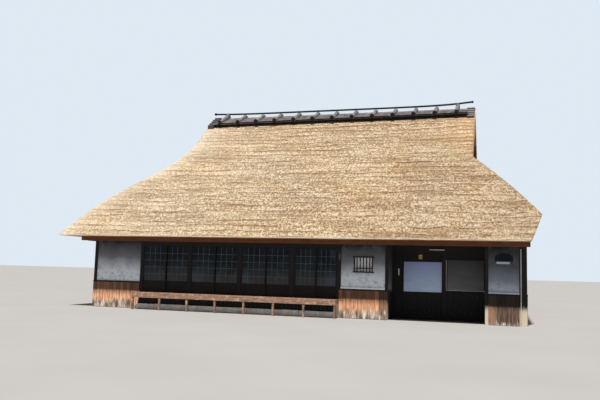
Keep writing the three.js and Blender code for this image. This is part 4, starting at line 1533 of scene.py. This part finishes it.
makeEntrance()
makeOval()
makeLamp()
print("entrance fitted")

# carried-over nodes; the rest of the shown ones are dark timber

nodeFinish = {
    "pole": ("ridge_pole",),
    "gableBoards": ("gable_left", "gable_right"),
    "eave_timber": ("front_eave", "back_eave", "left_eave"),
    "earth": ("earth_floor",),
    "floor_boards": ("raised_floor",),
    "pipe": ("corner_pipe",),
    "paper": ("barred_window", "back_windows", "left_window"),
    "glass": ("arched_window",),
    "door_boards": ("entrance_side_board",),
    "plaster": ("plaster_wall_1", "plaster_wall_left", "back_wall", "left_wall", "right_wall"),
    "paintedShadePlaster": ("plaster_wall_2",),
    "paintedRecessShadePlaster": ("entrance_wall_left", "entrance_wall_right", "entrance_ceiling"),
}


def finishNodes():
    keys = {name: key for key, names in nodeFinish.items() for name in names}
    for name, node in frame["nodes"].items():
        if not node.hide_render:
            node.data.materials.clear()
            node.data.materials.append(materials[keys.get(name, "dark_timber")])


finishNodes()

# floor and light

studio = {
    "floor": 400,
    "floorColors": ((0.45, 0.44, 0.43), (0.49, 0.48, 0.47)),
    "sunElevation": 64.4,
    "sunTurn": 8,
    "sunPower": 4.25,
    "sunSize": 2.5,
    "sunColor": (1.0, 0.96, 0.90),
    "skyPower": 0.20,
    "skyColor": (0.72, 0.86, 1.0),
    "backdrop": (0.74, 0.82, 0.90),
}


def makeStudio():
    bpy.ops.mesh.primitive_plane_add(size=studio["floor"], location=(0, 0, -0.002))
    ground = bpy.context.object
    ground.name = "studioFloor"
    floorPaint = newPaint("studioFloorPaint", 0.9)
    dark, light = studio["floorColors"]
    finishPaint(floorPaint, shades(speckle(floorPaint, even, 0.3, 2), (0.2, dark), (0.8, light)), None)
    ground.data.materials.append(floorPaint)
    bpy.ops.object.light_add(type="SUN")
    sun = bpy.context.object
    sun.data.energy = studio["sunPower"]
    sun.data.angle = radians(studio["sunSize"])
    sun.data.color = studio["sunColor"]
    sun.rotation_euler = (radians(90 - studio["sunElevation"]), 0, radians(studio["sunTurn"]))
    world = bpy.data.worlds.new("studioSky")
    world.use_nodes = True
    tree = world.node_tree
    fill = tree.nodes["Background"]
    fill.inputs[0].default_value = (*studio["skyColor"], 1)
    fill.inputs[1].default_value = studio["skyPower"]
    # the camera sees a paler backdrop than the one that lights the house
    backdrop = addNode("ShaderNodeBackground", {0: (*studio["backdrop"], 1)}, world)
    seen = addNode("ShaderNodeLightPath", {}, world).outputs["Is Camera Ray"]
    mixed = addNode("ShaderNodeMixShader", {0: seen, 1: fill.outputs[0], 2: backdrop.outputs[0]})
    tree.links.new(mixed.outputs[0], tree.nodes["World Output"].inputs[0])
    bpy.context.scene.world = world
    bpy.context.scene.view_settings.view_transform = "Standard"


makeStudio()
print("studio lit")
